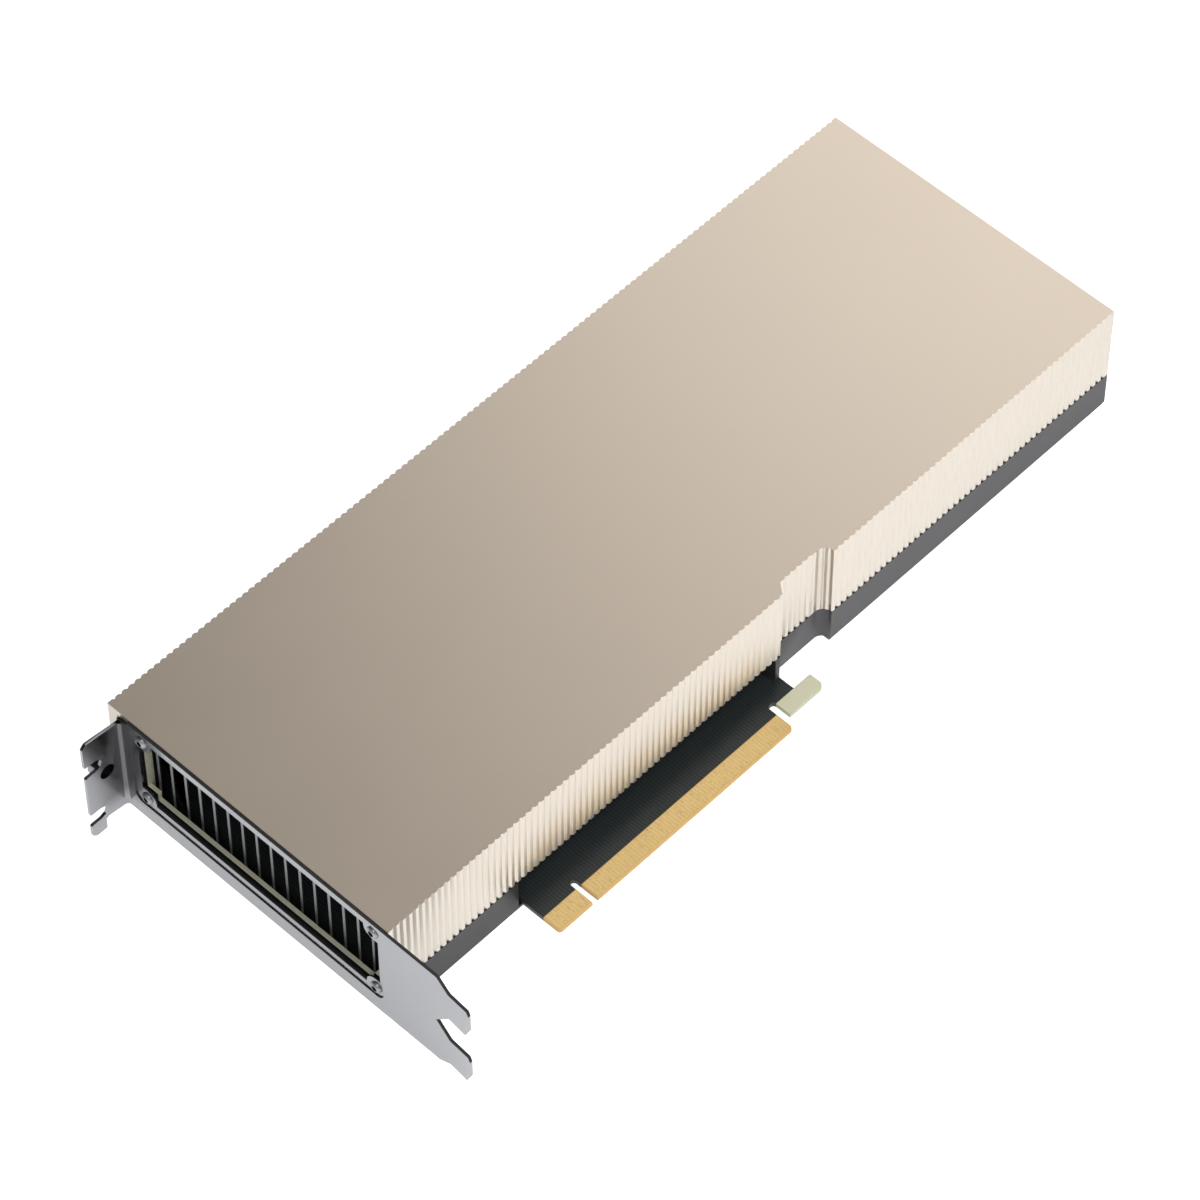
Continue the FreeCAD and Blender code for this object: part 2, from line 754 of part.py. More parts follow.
def prong(level):
    """One prong of the bracket, from its upper root to its lower root."""
    root = NEAR - cell("prong_root")
    tip = NEAR - cell("prong_reach")
    half, taper = cell("prong_half"), cell("prong_taper")
    step = cell("prong_round")
    return [(root, level + half), (tip + step * 0.4, level + half - taper),
            (tip, level + half - taper - step), (tip, level - half + step * 2),
            (tip + step * 0.8, level - half + taper * 0.3), (root, level - half + step)]


def bracket_screw_places():
    """The four screws at the window's corners, as (y, z), near pair first."""
    near = WINDOW_NEAR + cell("screw_inset_y")
    far = WINDOW_FAR - cell("screw_inset_y")
    low = cell("window_bottom") + cell("screw_inset_z")
    high = cell("window_top") - cell("screw_inset_z")
    return [(near, low), (near, high), (far, low), (far, high)]


def draw_window(sketch):
    """The outlet window, with a round lobe left standing at each corner screw."""
    edge_y = (WINDOW_NEAR, WINDOW_FAR)
    edge_z = (cell("window_bottom"), cell("window_top"))
    radius = cell("lobe_radius")
    corners = []
    for side, level in ((0, 0), (1, 0), (1, 1), (0, 1)):
        y, z = bracket_screw_places()[side * 2 + level]
        inward, upward = 1 - 2 * side, 1 - 2 * level
        lobe = [(edge_y[side], z + radius * upward)]
        for angle in (90, 67.5, 45, 22.5, 0):
            turn = math.radians(angle)
            lobe.append((y + radius * (math.cos(turn) * inward), z + radius * (math.sin(turn) * upward)))
        lobe.append((y + radius * inward, edge_z[level]))
        corners += lobe if side == level else lobe[::-1]
    draw_outline(sketch, corners)


def make_bracket():
    body = new_body("bracket")
    face = FRONT - cell("sheet_thickness")
    flange = FLANGE_INNER
    outer = flange + cell("sheet_thickness")
    shoulder = NEAR - cell("prong_shoulder")
    low_prong = cell("prong_level")
    high_prong = low_prong + cell("slot_pitch")
    gap = (NEAR - cell("prong_gap_depth"), (low_prong + high_prong) / 2 + 0.9)
    plate = new_sketch(body, "plate_outline", "YZ_Plane", face)
    relief = outer - cell("sheet_thickness") - cell("bend_relief_width")
    low_top = cell("plate_top") - cell("bend_relief_depth")
    corners = [(outer, low_top), (relief, low_top), (relief - cell("bend_relief_ramp"), cell("plate_top")),
               (shoulder, cell("plate_top"))]
    corners += prong(high_prong)
    corners += [gap]
    corners += prong(low_prong)
    corners += [(shoulder, cell("plate_bottom")), (outer, cell("plate_bottom"))]
    draw_outline(plate, corners)
    pad(body, plate, cell("sheet_thickness"), "plate")
    blade = new_sketch(body, "flange_outline", "XZ_Plane", flange)
    end = face - cell("flange_length")
    lobe = end + cell("flange_lobe_width")
    corner = cell("flange_corner")
    slot_bottom, lobe_bottom = cell("plate_bottom"), cell("flange_lobe_bottom")
    draw_outline(blade, [
        (FRONT, cell("flange_top_near")), (end + corner, cell("flange_top_far")),
        (end, cell("flange_top_far") - corner), (end, lobe_bottom + corner),
        (end + corner, lobe_bottom), (lobe, lobe_bottom),
        (lobe, slot_bottom + cell("flange_step") / 4), (lobe + 1, slot_bottom + cell("flange_step") / 2),
        (FRONT, slot_bottom)])
    pad(body, blade, cell("sheet_thickness"), "flange", reverse=True)
    collar = new_sketch(body, "collar_outline", "XZ_Plane", outer)
    hole_x = face - cell("flange_hole_reach")
    hole = (hole_x, cell("flange_hole_level"))
    draw_circle(collar, *hole, cell("flange_hole_radius") + cell("flange_collar_wall"))
    pad(body, collar, cell("flange_collar_height"), "collar", reverse=True)
    bore = new_sketch(body, "flange_hole", "XZ_Plane", flange)
    draw_circle(bore, *hole, cell("flange_hole_radius"))
    depth = cell("sheet_thickness") + cell("flange_collar_height") - cell("flange_collar_cap")
    pocket(body, bore, "flange_bore", depth)
    slots = new_sketch(body, "screw_slots", "XZ_Plane", flange)
    half = cell("slot_width") / 2
    bottom = end + cell("slot_depth")
    for level in (cell("slot_level"), cell("slot_level") + cell("slot_pitch")):
        draw_outline(slots, [
            (end - 1, level - half - 0.6), (end + 0.6, level - half), (bottom - half, level - half),
            (bottom - half * 0.3, level - half * 0.7), (bottom, level), (bottom - half * 0.3, level + half * 0.7),
            (bottom - half, level + half), (end + 0.6, level + half), (end - 1, level + half + 0.6)])
    pocket(body, slots, "flange_slots")
    emboss = new_sketch(body, "emboss_outline", "YZ_Plane", face)
    margin = cell("emboss_margin")
    draw_rectangle(emboss, WINDOW_NEAR - margin * 0.5, cell("window_bottom") - margin,
                   WINDOW_FAR + margin, cell("plate_top") - 1)
    pocket(body, emboss, "emboss", cell("emboss_depth"), reverse=True)
    corner_x = FRONT - cell("sheet_thickness") + cell("emboss_depth") / 2
    dress(body, "Fillet", lambda e: upright(e, "x") and passes(e, x=corner_x), cell("emboss_round"),
          "emboss_corners")
    window = new_sketch(body, "window_outline", "YZ_Plane", face)
    draw_window(window)
    pocket(body, window, "window")
    drill_bracket_screws(body, "bracket", face, cell("screw_radius") + cell("screw_clearance"))
    dress(body, "Fillet", lambda e: upright(e, "z") and passes(e, x=face, y=flange), cell("bend_radius"),
          "inner_bend")
    dress(body, "Fillet", lambda e: upright(e, "z") and passes(e, x=FRONT, y=outer),
          cell("sheet_thickness") * 0.8, "outer_bend")


# ---------------------------------------------------------------- outlet seal, frame and grille

def make_gasket():
    body = new_body("vent_gasket")
    play = cell("front_frame_play")
    outline = new_sketch(body, "gasket_outline", "YZ_Plane", FRONT)
    draw_rectangle(outline, INNER_NEAR + play, cell("window_bottom") - cell("gasket_margin"),
                   INNER_FAR - play, ROOF_UNDER - play)
    pad(body, outline, cell("gasket_thickness"), "gasket_strip")
    opening = new_sketch(body, "gasket_opening", "YZ_Plane", FRONT)
    gap = cell("gasket_gap")
    draw_rectangle(opening, INNER_NEAR - 1, cell("window_bottom") - gap, WINDOW_FAR + gap,
                   cell("window_top") + gap)
    pocket(body, opening, "gasket_window")


def drill_bracket_screws(body, name, level, radius):
    holes = new_sketch(body, f"{name}_screw_holes", "YZ_Plane", level)
    for y, z in bracket_screw_places():
        draw_circle(holes, y, z, radius)
    pocket(body, holes, f"{name}_screw_bores")


def make_front_frame():
    """Open-sided frame in the mouth of the cover: top rail, sill and a deeper far leg."""
    body = new_body("front_frame")
    play = cell("front_frame_play")
    start = FRONT + cell("gasket_thickness")
    near, far = INNER_NEAR + play, INNER_FAR - play
    foot = cell("rear_sill_height") + play
    outline = new_sketch(body, "front_frame_outline", "YZ_Plane", start)
    draw_outline(outline, [
        (near, foot), (far, foot), (far, ROOF_UNDER), (near, ROOF_UNDER), (near, cell("window_top")),
        (WINDOW_FAR, cell("window_top")), (WINDOW_FAR, cell("window_bottom")),
        (near, cell("window_bottom"))])
    pad(body, outline, cell("sill_depth"), "front_frame_section")
    leg = new_sketch(body, "front_frame_leg", "YZ_Plane", start)
    draw_rectangle(leg, WINDOW_FAR, foot, far, ROOF_UNDER)
    pad(body, leg, cell("leg_depth"), "far_leg")
    lobes = new_sketch(body, "front_frame_lobes", "YZ_Plane", start)
    reach = cell("boss_reach")
    for y, z in bracket_screw_places():
        low = near if y.number < 0 else y - reach
        high = y + reach if y.number < 0 else WINDOW_FAR + 0.5
        draw_rectangle(lobes, low, z - reach, high, z + reach)
    pad(body, lobes, cell("sill_depth"), "screw_lobes")
    sockets = new_sketch(body, "front_frame_screw_sockets", "YZ_Plane", start)
    for y, z in bracket_screw_places():
        draw_hexagon(sockets, y, z, cell("screw_radius"), 90)
    pocket(body, sockets, "front_frame_screw_bores")


def make_grille():
    """A thin ladder of upright bars, fixed behind the front frame."""
    body = new_body("vent_grille")
    start = FRONT + cell("gasket_thickness") + cell("sill_depth")
    play = cell("front_frame_play")
    near, far = INNER_NEAR + play, WINDOW_FAR - play
    low = cell("rear_sill_height") + cell("grille_foot_gap")
    top_rail = cell("window_top") - cell("grille_top_drop")
    high = top_rail + cell("grille_top_rail")
    first_y = WINDOW_NEAR + cell("first_bar_gap")
    last_y = WINDOW_FAR - cell("last_bar_gap")
    bar = cell("bar_width") / 2
    bars = new_sketch(body, "bar_outline", "XY_Plane", low)
    draw_rectangle(bars, start, first_y - bar, start + cell("grille_thickness"), first_y + bar)
    bar_pad = pad(body, bars, high - low, "first_bar_pad")
    pattern = body.newObject("PartDesign::LinearPattern", "bars")
    pattern.Originals = [bar_pad]
    pattern.Direction = (bars, ["V_Axis"])
    bind(pattern, "Length", last_y - first_y)
    bind(pattern, "Occurrences", cell("bar_count"))
    body.Tip = pattern
    doc.recompute()
    rails = new_sketch(body, "grille_rails", "YZ_Plane", start)
    draw_rectangle(rails, near, low, far, low + cell("grille_foot_rail"))
    draw_rectangle(rails, near, top_rail, far, high)
    pad(body, rails, cell("grille_thickness"), "grille_rail_pads")


# ---------------------------------------------------------------- heat sink

def make_heat_sink():
    body = new_body("heat_sink")
    half = SINK_HALF
    front, rear = along(cell("sink_front")), REAR - cell("sink_rear_gap")
    top = cell("sink_bottom") + cell("sink_base")
    base = new_sketch(body, "sink_base_outline", "YZ_Plane", front)
    draw_rectangle(base, -half, cell("sink_bottom"), half, top)
    pad(body, base, rear - front, "sink_base")
    fin = new_sketch(body, "fin_outline", "YZ_Plane", front)
    draw_rectangle(fin, -half, top - 0.2, -half + cell("fin_thickness"), ROOF_UNDER - cell("fin_top_gap"))
    first = pad(body, fin, rear - front, "first_fin")
    pattern = body.newObject("PartDesign::LinearPattern", "fins")
    pattern.Originals = [first]
    pattern.Direction = (fin, ["H_Axis"])
    bind(pattern, "Length", half * 2 - cell("fin_thickness"))
    bind(pattern, "Occurrences", cell("fin_count"))
    body.Tip = pattern
    doc.recompute()
    corner = new_sketch(body, "socket_room", "XY_Plane", cell("sink_bottom") - 1)
    room = cell("socket_clearance")
    draw_rectangle(corner, socket_front() - room, socket_low() - room, rear + 1, half + 1)
    pocket(body, corner, "socket_room_cut", cell("socket_height"), reverse=True)


def make_cold_plate():
    body = new_body("cold_plate")
    bottom = BOARD_TOP + cell("substrate_height") + cell("die_height")
    half_x, half_y = CLAMP_X + cell("cold_plate_margin"), CLAMP_Y + cell("cold_plate_margin")
    outline = new_sketch(body, "cold_plate_outline", "XY_Plane", bottom)
    draw_rectangle(outline, PACKAGE - half_x, -half_y, PACKAGE + half_x, half_y)
    pad(body, outline, cell("sink_bottom") - bottom, "cold_plate_slab")
    dress(body, "Chamfer", lambda e: upright(e, "z"), cell("cold_plate_corner"), "cold_plate_corners")
    holes = new_sketch(body, "cold_plate_holes", "XY_Plane", bottom)
    for x, y in clamp_places():
        draw_hexagon(holes, x, y, cell("screw_radius"), 0)
    pocket(body, holes, "cold_plate_sockets", cell("sink_bottom") - bottom - 0.5, reverse=True)


# ---------------------------------------------------------------- processor package

def make_package():
    middle, side = PACKAGE, cell("package_side")
    keep(chip("substrate", middle, size(0), side, side, cell("substrate_height")), "gpu_substrate")
    level = BOARD_TOP + cell("substrate_height")
    keep(chip("die", middle, size(0), cell("die_length"), cell("die_width"), cell("die_height"), level),
         "gpu_die")
    outer = chip("stiffener_outer", middle, size(0), side, side, cell("stiffener_height"), level)
    inner_side = side - cell("stiffener_width") * 2
    inner = chip("stiffener_inner", middle, size(0), inner_side, inner_side,
                 cell("stiffener_height"), level)
    frame = doc.addObject("Part::Cut", "stiffener_frame")
    frame.Base = outer
    frame.Tool = inner
    keep(frame, "substrate_stiffener")
    offset = cell("die_length") / 2 + cell("stack_gap") + cell("stack_length") / 2
    stacks = []
    for side_sign in (-1, 1):
        for row in (-1, 0, 1):
            stacks.append(chip(f"stack_{len(stacks)}", middle + offset * side_sign,
                               cell("stack_pitch") * row, cell("stack_length"), cell("stack_width"),
                               cell("die_height"), level))
    bundle = doc.addObject("Part::Compound", "stack_bundle")
    bundle.Links = stacks
    keep(bundle, "memory_stacks")


# ---------------------------------------------------------------- power parts and chips

def row_levels(count, pitch):
    return [(i - (count - 1) / 2) * pitch for i in range(int(count))]


def corner_cut_block(centre_x, centre_y, side, height, cut):
    """A moulded block, square in plan, with its upright edges cut off."""
    corner = FreeCAD.Vector(centre_x - side / 2, centre_y - side / 2, BOARD_TOP.number)
    box = Part.makeBox(side, side, height, corner)
    return box.makeChamfer(cut, [edge for edge in box.Edges if upright(edge, "z")])


def power_rows(offset):
    """One part per power phase: a column on each side of the processor."""
    levels = row_levels(number("inductors_per_row"), number("inductor_pitch"))
    return [(PACKAGE.number + offset.number * sign, y) for sign in (-1, 1) for y in levels]


def make_power_parts():
    side, height, cut = number("inductor_side"), number("inductor_height"), number("inductor_corner")
    group("power_inductors", [corner_cut_block(x, y, side, height, cut)
                              for x, y in power_rows(INDUCTOR_X)])
    length, width = number("stage_length"), number("stage_width")
    group("power_stages", [Part.makeBox(length, width, number("stage_height"), FreeCAD.Vector(
        x - length / 2, y - width / 2, BOARD_TOP.number)) for x, y in power_rows(STAGE_X)])
    group("capacitors", [capacitor(x, y) for x, y in power_rows(CAPACITOR_X)])
    pads = []
    thickness = number("sink_bottom") - BOARD_TOP.number - height
    span = number("inductor_pitch") * (number("inductors_per_row") - 1) + side
    for sign in (-1, 1):
        x = PACKAGE.number + sign * INDUCTOR_X.number - side / 2
        pads.append(Part.makeBox(side, span, thickness,
                                 FreeCAD.Vector(x, -span / 2, BOARD_TOP.number + height)))
    group("thermal_pads", pads)
    chokes = []
    for i in range(2):
        y = socket_middle().number - number("choke_pitch") * (0.5 - i)
        x = REAR.number - number("choke_rear_gap") - number("choke_side") / 2
        chokes.append(corner_cut_block(x, y, number("choke_side"), number("choke_height"), cut))
    group("input_chokes", chokes)


def capacitor(x, y):
    """A polymer capacitor block with cut corners, as wide as it is long."""
    return corner_cut_block(x, y, number("capacitor_radius") * 2, number("capacitor_height"),
                            number("capacitor_radius") * 0.55)


def make_small_chips():
    side = cell("controller_side")
    keep(chip("controller", PACKAGE + CONTROLLER_X, size(0) - side, side, side,
              cell("controller_height")), "board_controller")
    keep(chip("flash", PACKAGE + FLASH_X, size(0) - side, cell("flash_length"),
              cell("flash_width"), cell("flash_height")), "flash_memory")


# ---------------------------------------------------------------- power socket

def socket_low():
    return INNER_FAR - cell("support_boss") - cell("socket_side_gap") - cell("socket_width")


def socket_middle():
    return socket_low() + cell("socket_width") / 2


def socket_front():
    return REAR - cell("socket_rear_gap") - cell("socket_depth")


def cavity_places():
    """Centres of the socket's cavities as (y, z), two rows deep."""
    pitch = cell("cavity_pitch")
    middle = BOARD_TOP + cell("socket_height") / 2
    columns = [socket_middle() + pitch * (i - 1.5) for i in range(int(number("cavity_columns")))]
    return [(y, middle + pitch * row) for row in (-0.5, 0.5) for y in columns]


def make_power_socket():
    body = new_body("power_connector")
    rear = REAR - cell("socket_rear_gap")
    outline = new_sketch(body, "socket_outline", "YZ_Plane", socket_front())
    draw_rectangle(outline, socket_low(), BOARD_TOP, socket_low() + cell("socket_width"),
                   BOARD_TOP + cell("socket_height"))
    pad(body, outline, cell("socket_depth"), "socket_shell")
    ramp = new_sketch(body, "latch_ramp", "XZ_Plane", socket_middle() - cell("latch_ramp_width") / 2)
    top = BOARD_TOP + cell("socket_height")
    draw_outline(ramp, [(rear, top - 0.2), (rear, top), (rear - cell("latch_ramp_length"), top +
                        cell("latch_ramp_height")), (rear - cell("latch_ramp_length"), top - 0.2)])
    pad(body, ramp, cell("latch_ramp_width"), "latch_ramp_pad", reverse=True)
    cavities = new_sketch(body, "cavity_outline", "YZ_Plane", rear)
    half = cell("cavity_side") / 2
    for y, z in cavity_places():
        draw_rectangle(cavities, y - half, z - half, y + half, z + half)
    pocket(body, cavities, "cavities", cell("cavity_depth"))


def make_power_pins():
    side, length = number("pin_side"), number("pin_length")
    back = (REAR - cell("socket_rear_gap") - cell("cavity_depth")).number
    group("power_pins", [Part.makeBox(length, side, side, FreeCAD.Vector(
        back, y.number - side / 2, z.number - side / 2)) for y, z in cavity_places()])


# ---------------------------------------------------------------- fasteners

def hex_prism(base, direction, radius, depth):
    """A six-sided prism along a direction."""
    corners = [FreeCAD.Vector(radius * math.cos(k * math.pi / 3), radius * math.sin(k * math.pi / 3), 0)
               for k in range(7)]
    prism = Part.Face(Part.makePolygon(corners)).extrude(FreeCAD.Vector(0, 0, depth))
    prism.Placement = FreeCAD.Placement(base, FreeCAD.Rotation(FreeCAD.Vector(0, 0, 1), direction))
    return prism


def flat_screw(x, y, length):
    """A countersunk screw, driven upwards, with its head level with the back plate."""
    radius, head = number("screw_radius"), number("flat_head_radius")
    start, up = FreeCAD.Vector(x, y, 0.05), FreeCAD.Vector(0, 0, 1)
    neck = start + up * (head - radius)
    cone = Part.makeCone(head, radius, head - radius, start, up)
    shaft = shank(neck, up, length - head + radius)
    recess = hex_prism(start, up, number("drive_radius"), number("drive_depth"))
    return cone.fuse(shaft).cut(recess)


def shank(base, direction, length):
    """A screw's shank, kept six-sided so that it stays clear of its bore's wall."""
    return hex_prism(base, direction, number("screw_radius"), length)


def round_screw(y, z):
    """A low-headed screw that holds the bracket to the front frame, driven towards +X."""
    head, height = number("round_head_radius"), number("round_head_height")
    seat = (FRONT - cell("sheet_thickness") + cell("emboss_depth")).number
    start, inward = FreeCAD.Vector(seat, y, z), FreeCAD.Vector(1, 0, 0)
    cap = Part.makeCone(head * 0.7, head, height, start - inward * height, inward)
    shaft = shank(start, inward, number("bracket_screw_length"))
    recess = hex_prism(start - inward * height, inward, number("drive_radius"), number("drive_depth"))
    return cap.fuse(shaft).cut(recess)


def make_fasteners():
    group("bracket_screws", [round_screw(y.number, z.number) for y, z in bracket_screw_places()])
    group("rail_screws", [flat_screw(x.number, y.number, number("rail_screw_length"))
                          for x, y in rail_screw_places()])
    up = FreeCAD.Vector(0, 0, 1)
    height = number("sink_bottom") - BOARD_TOP.number
    group("board_standoffs", [hex_prism(point(x, y, BOARD_TOP), up, number("standoff_radius"), height)
                              for x, y in standoff_places()])
    clamps = []
    for x, y in clamp_places():
        head_base = point(x, y, BOARD_BOTTOM - cell("clamp_head_height"))
        head = hex_prism(head_base, up, number("clamp_head_radius"), number("clamp_head_height"))
        clamps.append(head.fuse(shank(head_base, up, number("clamp_screw_length"))))
    group("clamp_screws", clamps)


# ---------------------------------------------------------------- build, check and write

make_shroud()
make_base_frame()
make_back_plate()
make_insulator()
make_board()
make_contacts("contacts_top", BOARD_TOP.number)
make_contacts("contacts_bottom", BOARD_BOTTOM.number - number("contact_thickness"))
make_bracket()
make_gasket()
make_front_frame()
make_grille()
make_heat_sink()
make_cold_plate()
make_package()
make_power_parts()
make_small_chips()
make_power_socket()
make_power_pins()
make_fasteners()
doc.recompute()

for item in doc.Objects:
    if "Invalid" in item.State or "Error" in item.State:
        raise RuntimeError(f"{item.Label} did not build")

for node in nodes:
    if node.Shape.isNull() or not node.Shape.isValid():
        raise RuntimeError(f"{node.Label} is not a valid shape")

os.makedirs("parts", exist_ok=True)
for node in nodes:
    node.Shape.exportStep(f"parts/{node.Label}.step")
    print(node.Label, len(node.Shape.Solids), round(node.Shape.Volume, 1))
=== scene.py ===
import math

import bmesh
import bpy
from bpy.props import FloatProperty, FloatVectorProperty, IntProperty, PointerProperty
from mathutils import Matrix, Vector


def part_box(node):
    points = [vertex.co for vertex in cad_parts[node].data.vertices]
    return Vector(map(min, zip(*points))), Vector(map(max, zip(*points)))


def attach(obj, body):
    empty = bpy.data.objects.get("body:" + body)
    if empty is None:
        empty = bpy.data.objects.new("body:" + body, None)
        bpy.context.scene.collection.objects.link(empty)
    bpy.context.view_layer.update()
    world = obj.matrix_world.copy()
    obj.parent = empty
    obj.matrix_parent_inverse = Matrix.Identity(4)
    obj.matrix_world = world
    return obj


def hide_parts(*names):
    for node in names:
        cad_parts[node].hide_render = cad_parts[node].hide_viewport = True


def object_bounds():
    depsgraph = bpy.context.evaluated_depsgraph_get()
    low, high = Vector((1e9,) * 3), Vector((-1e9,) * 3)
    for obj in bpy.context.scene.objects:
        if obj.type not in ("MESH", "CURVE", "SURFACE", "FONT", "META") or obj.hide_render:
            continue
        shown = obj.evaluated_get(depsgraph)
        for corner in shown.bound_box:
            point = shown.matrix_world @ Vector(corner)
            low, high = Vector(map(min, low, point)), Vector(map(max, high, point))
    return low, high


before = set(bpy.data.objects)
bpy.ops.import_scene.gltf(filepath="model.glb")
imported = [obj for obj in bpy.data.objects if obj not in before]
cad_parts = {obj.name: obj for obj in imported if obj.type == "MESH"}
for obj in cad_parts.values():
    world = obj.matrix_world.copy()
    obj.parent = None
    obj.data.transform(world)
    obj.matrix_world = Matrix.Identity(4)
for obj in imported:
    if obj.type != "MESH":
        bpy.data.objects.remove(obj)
CAD_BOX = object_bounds()

bl_info = {
    "name": "Passive accelerator card",
    "version": (1, 0, 0),
    "blender": (4, 5, 0),
    "location": "3D View > Sidebar > Accelerator card",
    "description": "Finishes a passive accelerator card around its packed solids",
    "category": "Object",
}

MERGE_GAP = 0.0000005            # vertices nearer than this are one
SPUN_GAP = 0.000001              # the same, where a turned form closes on itself
FLAT_ANGLE = 0.6                 # degrees between the triangles of one flat face
SHARP_ANGLE = 32.0               # degrees from which an edge is rounded
GRAIN_DEPTH = 0.00001            # bump of bead-blasted and brushed metal
SKIN = 0.00005                   # small step in from a face
NEAR_BLACK = (0.008, 0.008, 0.008)
MOULD_BLACK = (0.012, 0.012, 0.012)
MIX_A, MIX_B = 6, 7              # the Mix node's two colour inputs
EDGE_LEAN, EDGE_RISE = 0.3, 0.1  # a cut edge that faces up leans less in X and rises more in Z
LAMP_COLOUR = (0.95, 0.98, 1.0)
FLOOR_SIZE = 6.0
FLOOR_MIRRORED = 0.64            # the floor's glow as the card's finishes mirror it
HORIZON, OVERHEAD = 0.15, 0.65   # heights where the backdrop is brightest and dimmest
OVERHEAD_LEVEL = 0.36
BACKDROP_FILL = 0.45             # the backdrop's share of light on matt surfaces
LENS = 163.62
CAMERA_PLACE = (-0.613908, -0.583843, 1.129699)
CAMERA_RIGHT = (0.691640, -0.722236, -0.002974)
CAMERA_UP = (0.579622, 0.552602, 0.598890)


# ---------------------------------------------------------------- settings

def length(name, description, default):
    return FloatProperty(name=name, description=description, default=default, min=0.0,
                         subtype="DISTANCE", unit="LENGTH", precision=5)


def watts(name, description, default):
    return FloatProperty(name=name, description=description, default=default, min=0.0)


def colour(name, description, default):
    return FloatVectorProperty(name=name, description=description, default=default, size=3,
                               min=0.0, max=1.0, subtype="COLOR")


class CardSizes(bpy.types.PropertyGroup):
    """Edge rounds and small details that the solids leave sharp."""

    cover_edge: length("Cover edge", "Round on the cover's ribs and outline", 0.00012)
    base_edge: length("Base edge", "Round on the base frame and back plate", 0.00018)
    sheet_edge: length("Sheet edge", "Round on the bracket's cut edges", 0.00014)
    grille_edge: length("Grille edge", "Round on the frame and bars in the outlet", 0.00015)
    board_edge: length("Board edge", "Round on the board's routed outline", 0.00008)
    contact_edge: length("Contact edge", "Round on the plated contacts", 0.00002)
    part_edge: length("Part edge", "Round on moulded parts", 0.00015)
    screw_edge: length("Screw edge", "Round on the rail and clamp screws", 0.00004)
    seal_edge: length("Seal edge", "Round on the seal round the outlet", 0.0001)
    fin_edge: length("Fin edge", "Round on the heat sink's fins", 0.00008)
    pin_edge: length("Pin edge", "Round on the socket's pins", 0.0001)
    side_start: length("Side start", "Cover's top to where its side colour begins", 0.0002)
    side_full: length("Side full", "Cover's top to where its side colour is full", 0.0005)
    flange_setback: length("Flange setback", "Cover's far side to where the sheet's fold begins", 0.0065)
    socket_share: FloatProperty(name="Socket share", description="Driver socket's share of a screw head",
                                default=0.48, min=0.1, max=0.8)
    notch_round_start: length("Notch round start", "Cover's front to the notch's rounded end", 0.1545)
    notch_round: length("Notch round", "Length of the notch's rounded end", 0.0042)
    flute_pitch: length("Flute pitch", "Spacing of the flutes round the notch's end", 0.0022)
    notch_reach: length("Notch reach", "How far the flutes run in from the cover's side", 0.0034)
    flute_depth: length("Flute depth", "Bump of the flutes", 0.0003)
    # Painted shade: the rail darkens towards the base's front between the next two levels.
    rail_shade_clear: length("Rail light", "Base's front to where the rail is lightest", 0.13)
    rail_shade_full: length("Rail dark", "Base's front to where the rail is darkest", 0.03)
    # Painted shadow: a near-black band along the base frame's top, under the cover's ribs, between the next
    # two levels.
    seam_shadow_start: length("Seam start", "Base's top to where the dark seam begins", 0.00030)
    seam_shadow_full: length("Seam full", "Base's top to where the dark seam is full", 0.00018)
    # Painted shadow and shade on the outlet frame: its front edge and its rear part fade to near black
    # between the next two pairs of levels.
    outlet_shadow_clear: length("Frame clear", "Outlet frame's front to where its black front ends", 0.0004)
    outlet_shadow_full: length("Frame front", "Outlet frame's front to where its black front begins", 0.0003)
    outlet_back_shade_clear: length("Frame gold end", "Outlet frame's front to where its gold ends", 0.0027)
    outlet_back_shade_full: length("Frame back", "Outlet frame's front to where it is black again", 0.0029)
    # Painted shade: the bars fade to near black towards their foot between the next two levels.
    bar_shade_clear: length("Bar clear", "Bars' top to where they begin to darken", 0.006)
    bar_shade_full: length("Bar dark", "Bars' foot to where they are darkest", 0.002)
    tip_blend: length("Tip blend", "Width of the change from solder mask to bare tip", 0.0002)
    hook_gap: length("Hook gap", "Last contact to the bare hook", 0.0012)
    hook_side: length("Hook side", "Contacts' inner end to the hook's inner side", 0.0026)
    # Painted shade beside the bracket's fold, in the plating's base colour; the next five sizes place it.
    fold_shade_inset: length("Fold inset", "Cover's far side to the middle of the dull plating", 0.005)
    fold_shade_reach: length("Fold reach", "How far the dull plating reaches", 0.014)
    fold_shade_core: length("Fold core", "How far the dull plating is at its dullest", 0.003)
    strip_top: length("Strip top", "Level where the bright lower strip ends", 0.004)
    fold_shade_full_level: length("Strip fade", "Level where the dull plating is full", 0.009)
    screw_rim: length("Screw rim", "Height of the straight rim under a screw's dome", 0.00025)
    head_height: length("Head height", "Height of a bracket screw's head", 0.0009)
    socket_depth: length("Socket depth", "Depth of a bracket screw's driver socket", 0.0007)
    shank_chamfer: length("Shank chamfer", "Chamfer at a bracket screw's end", 0.0003)
    edge_segments: IntProperty(name="Edge segments", description="Steps in each rounded edge",
                               default=2, min=1, max=4)


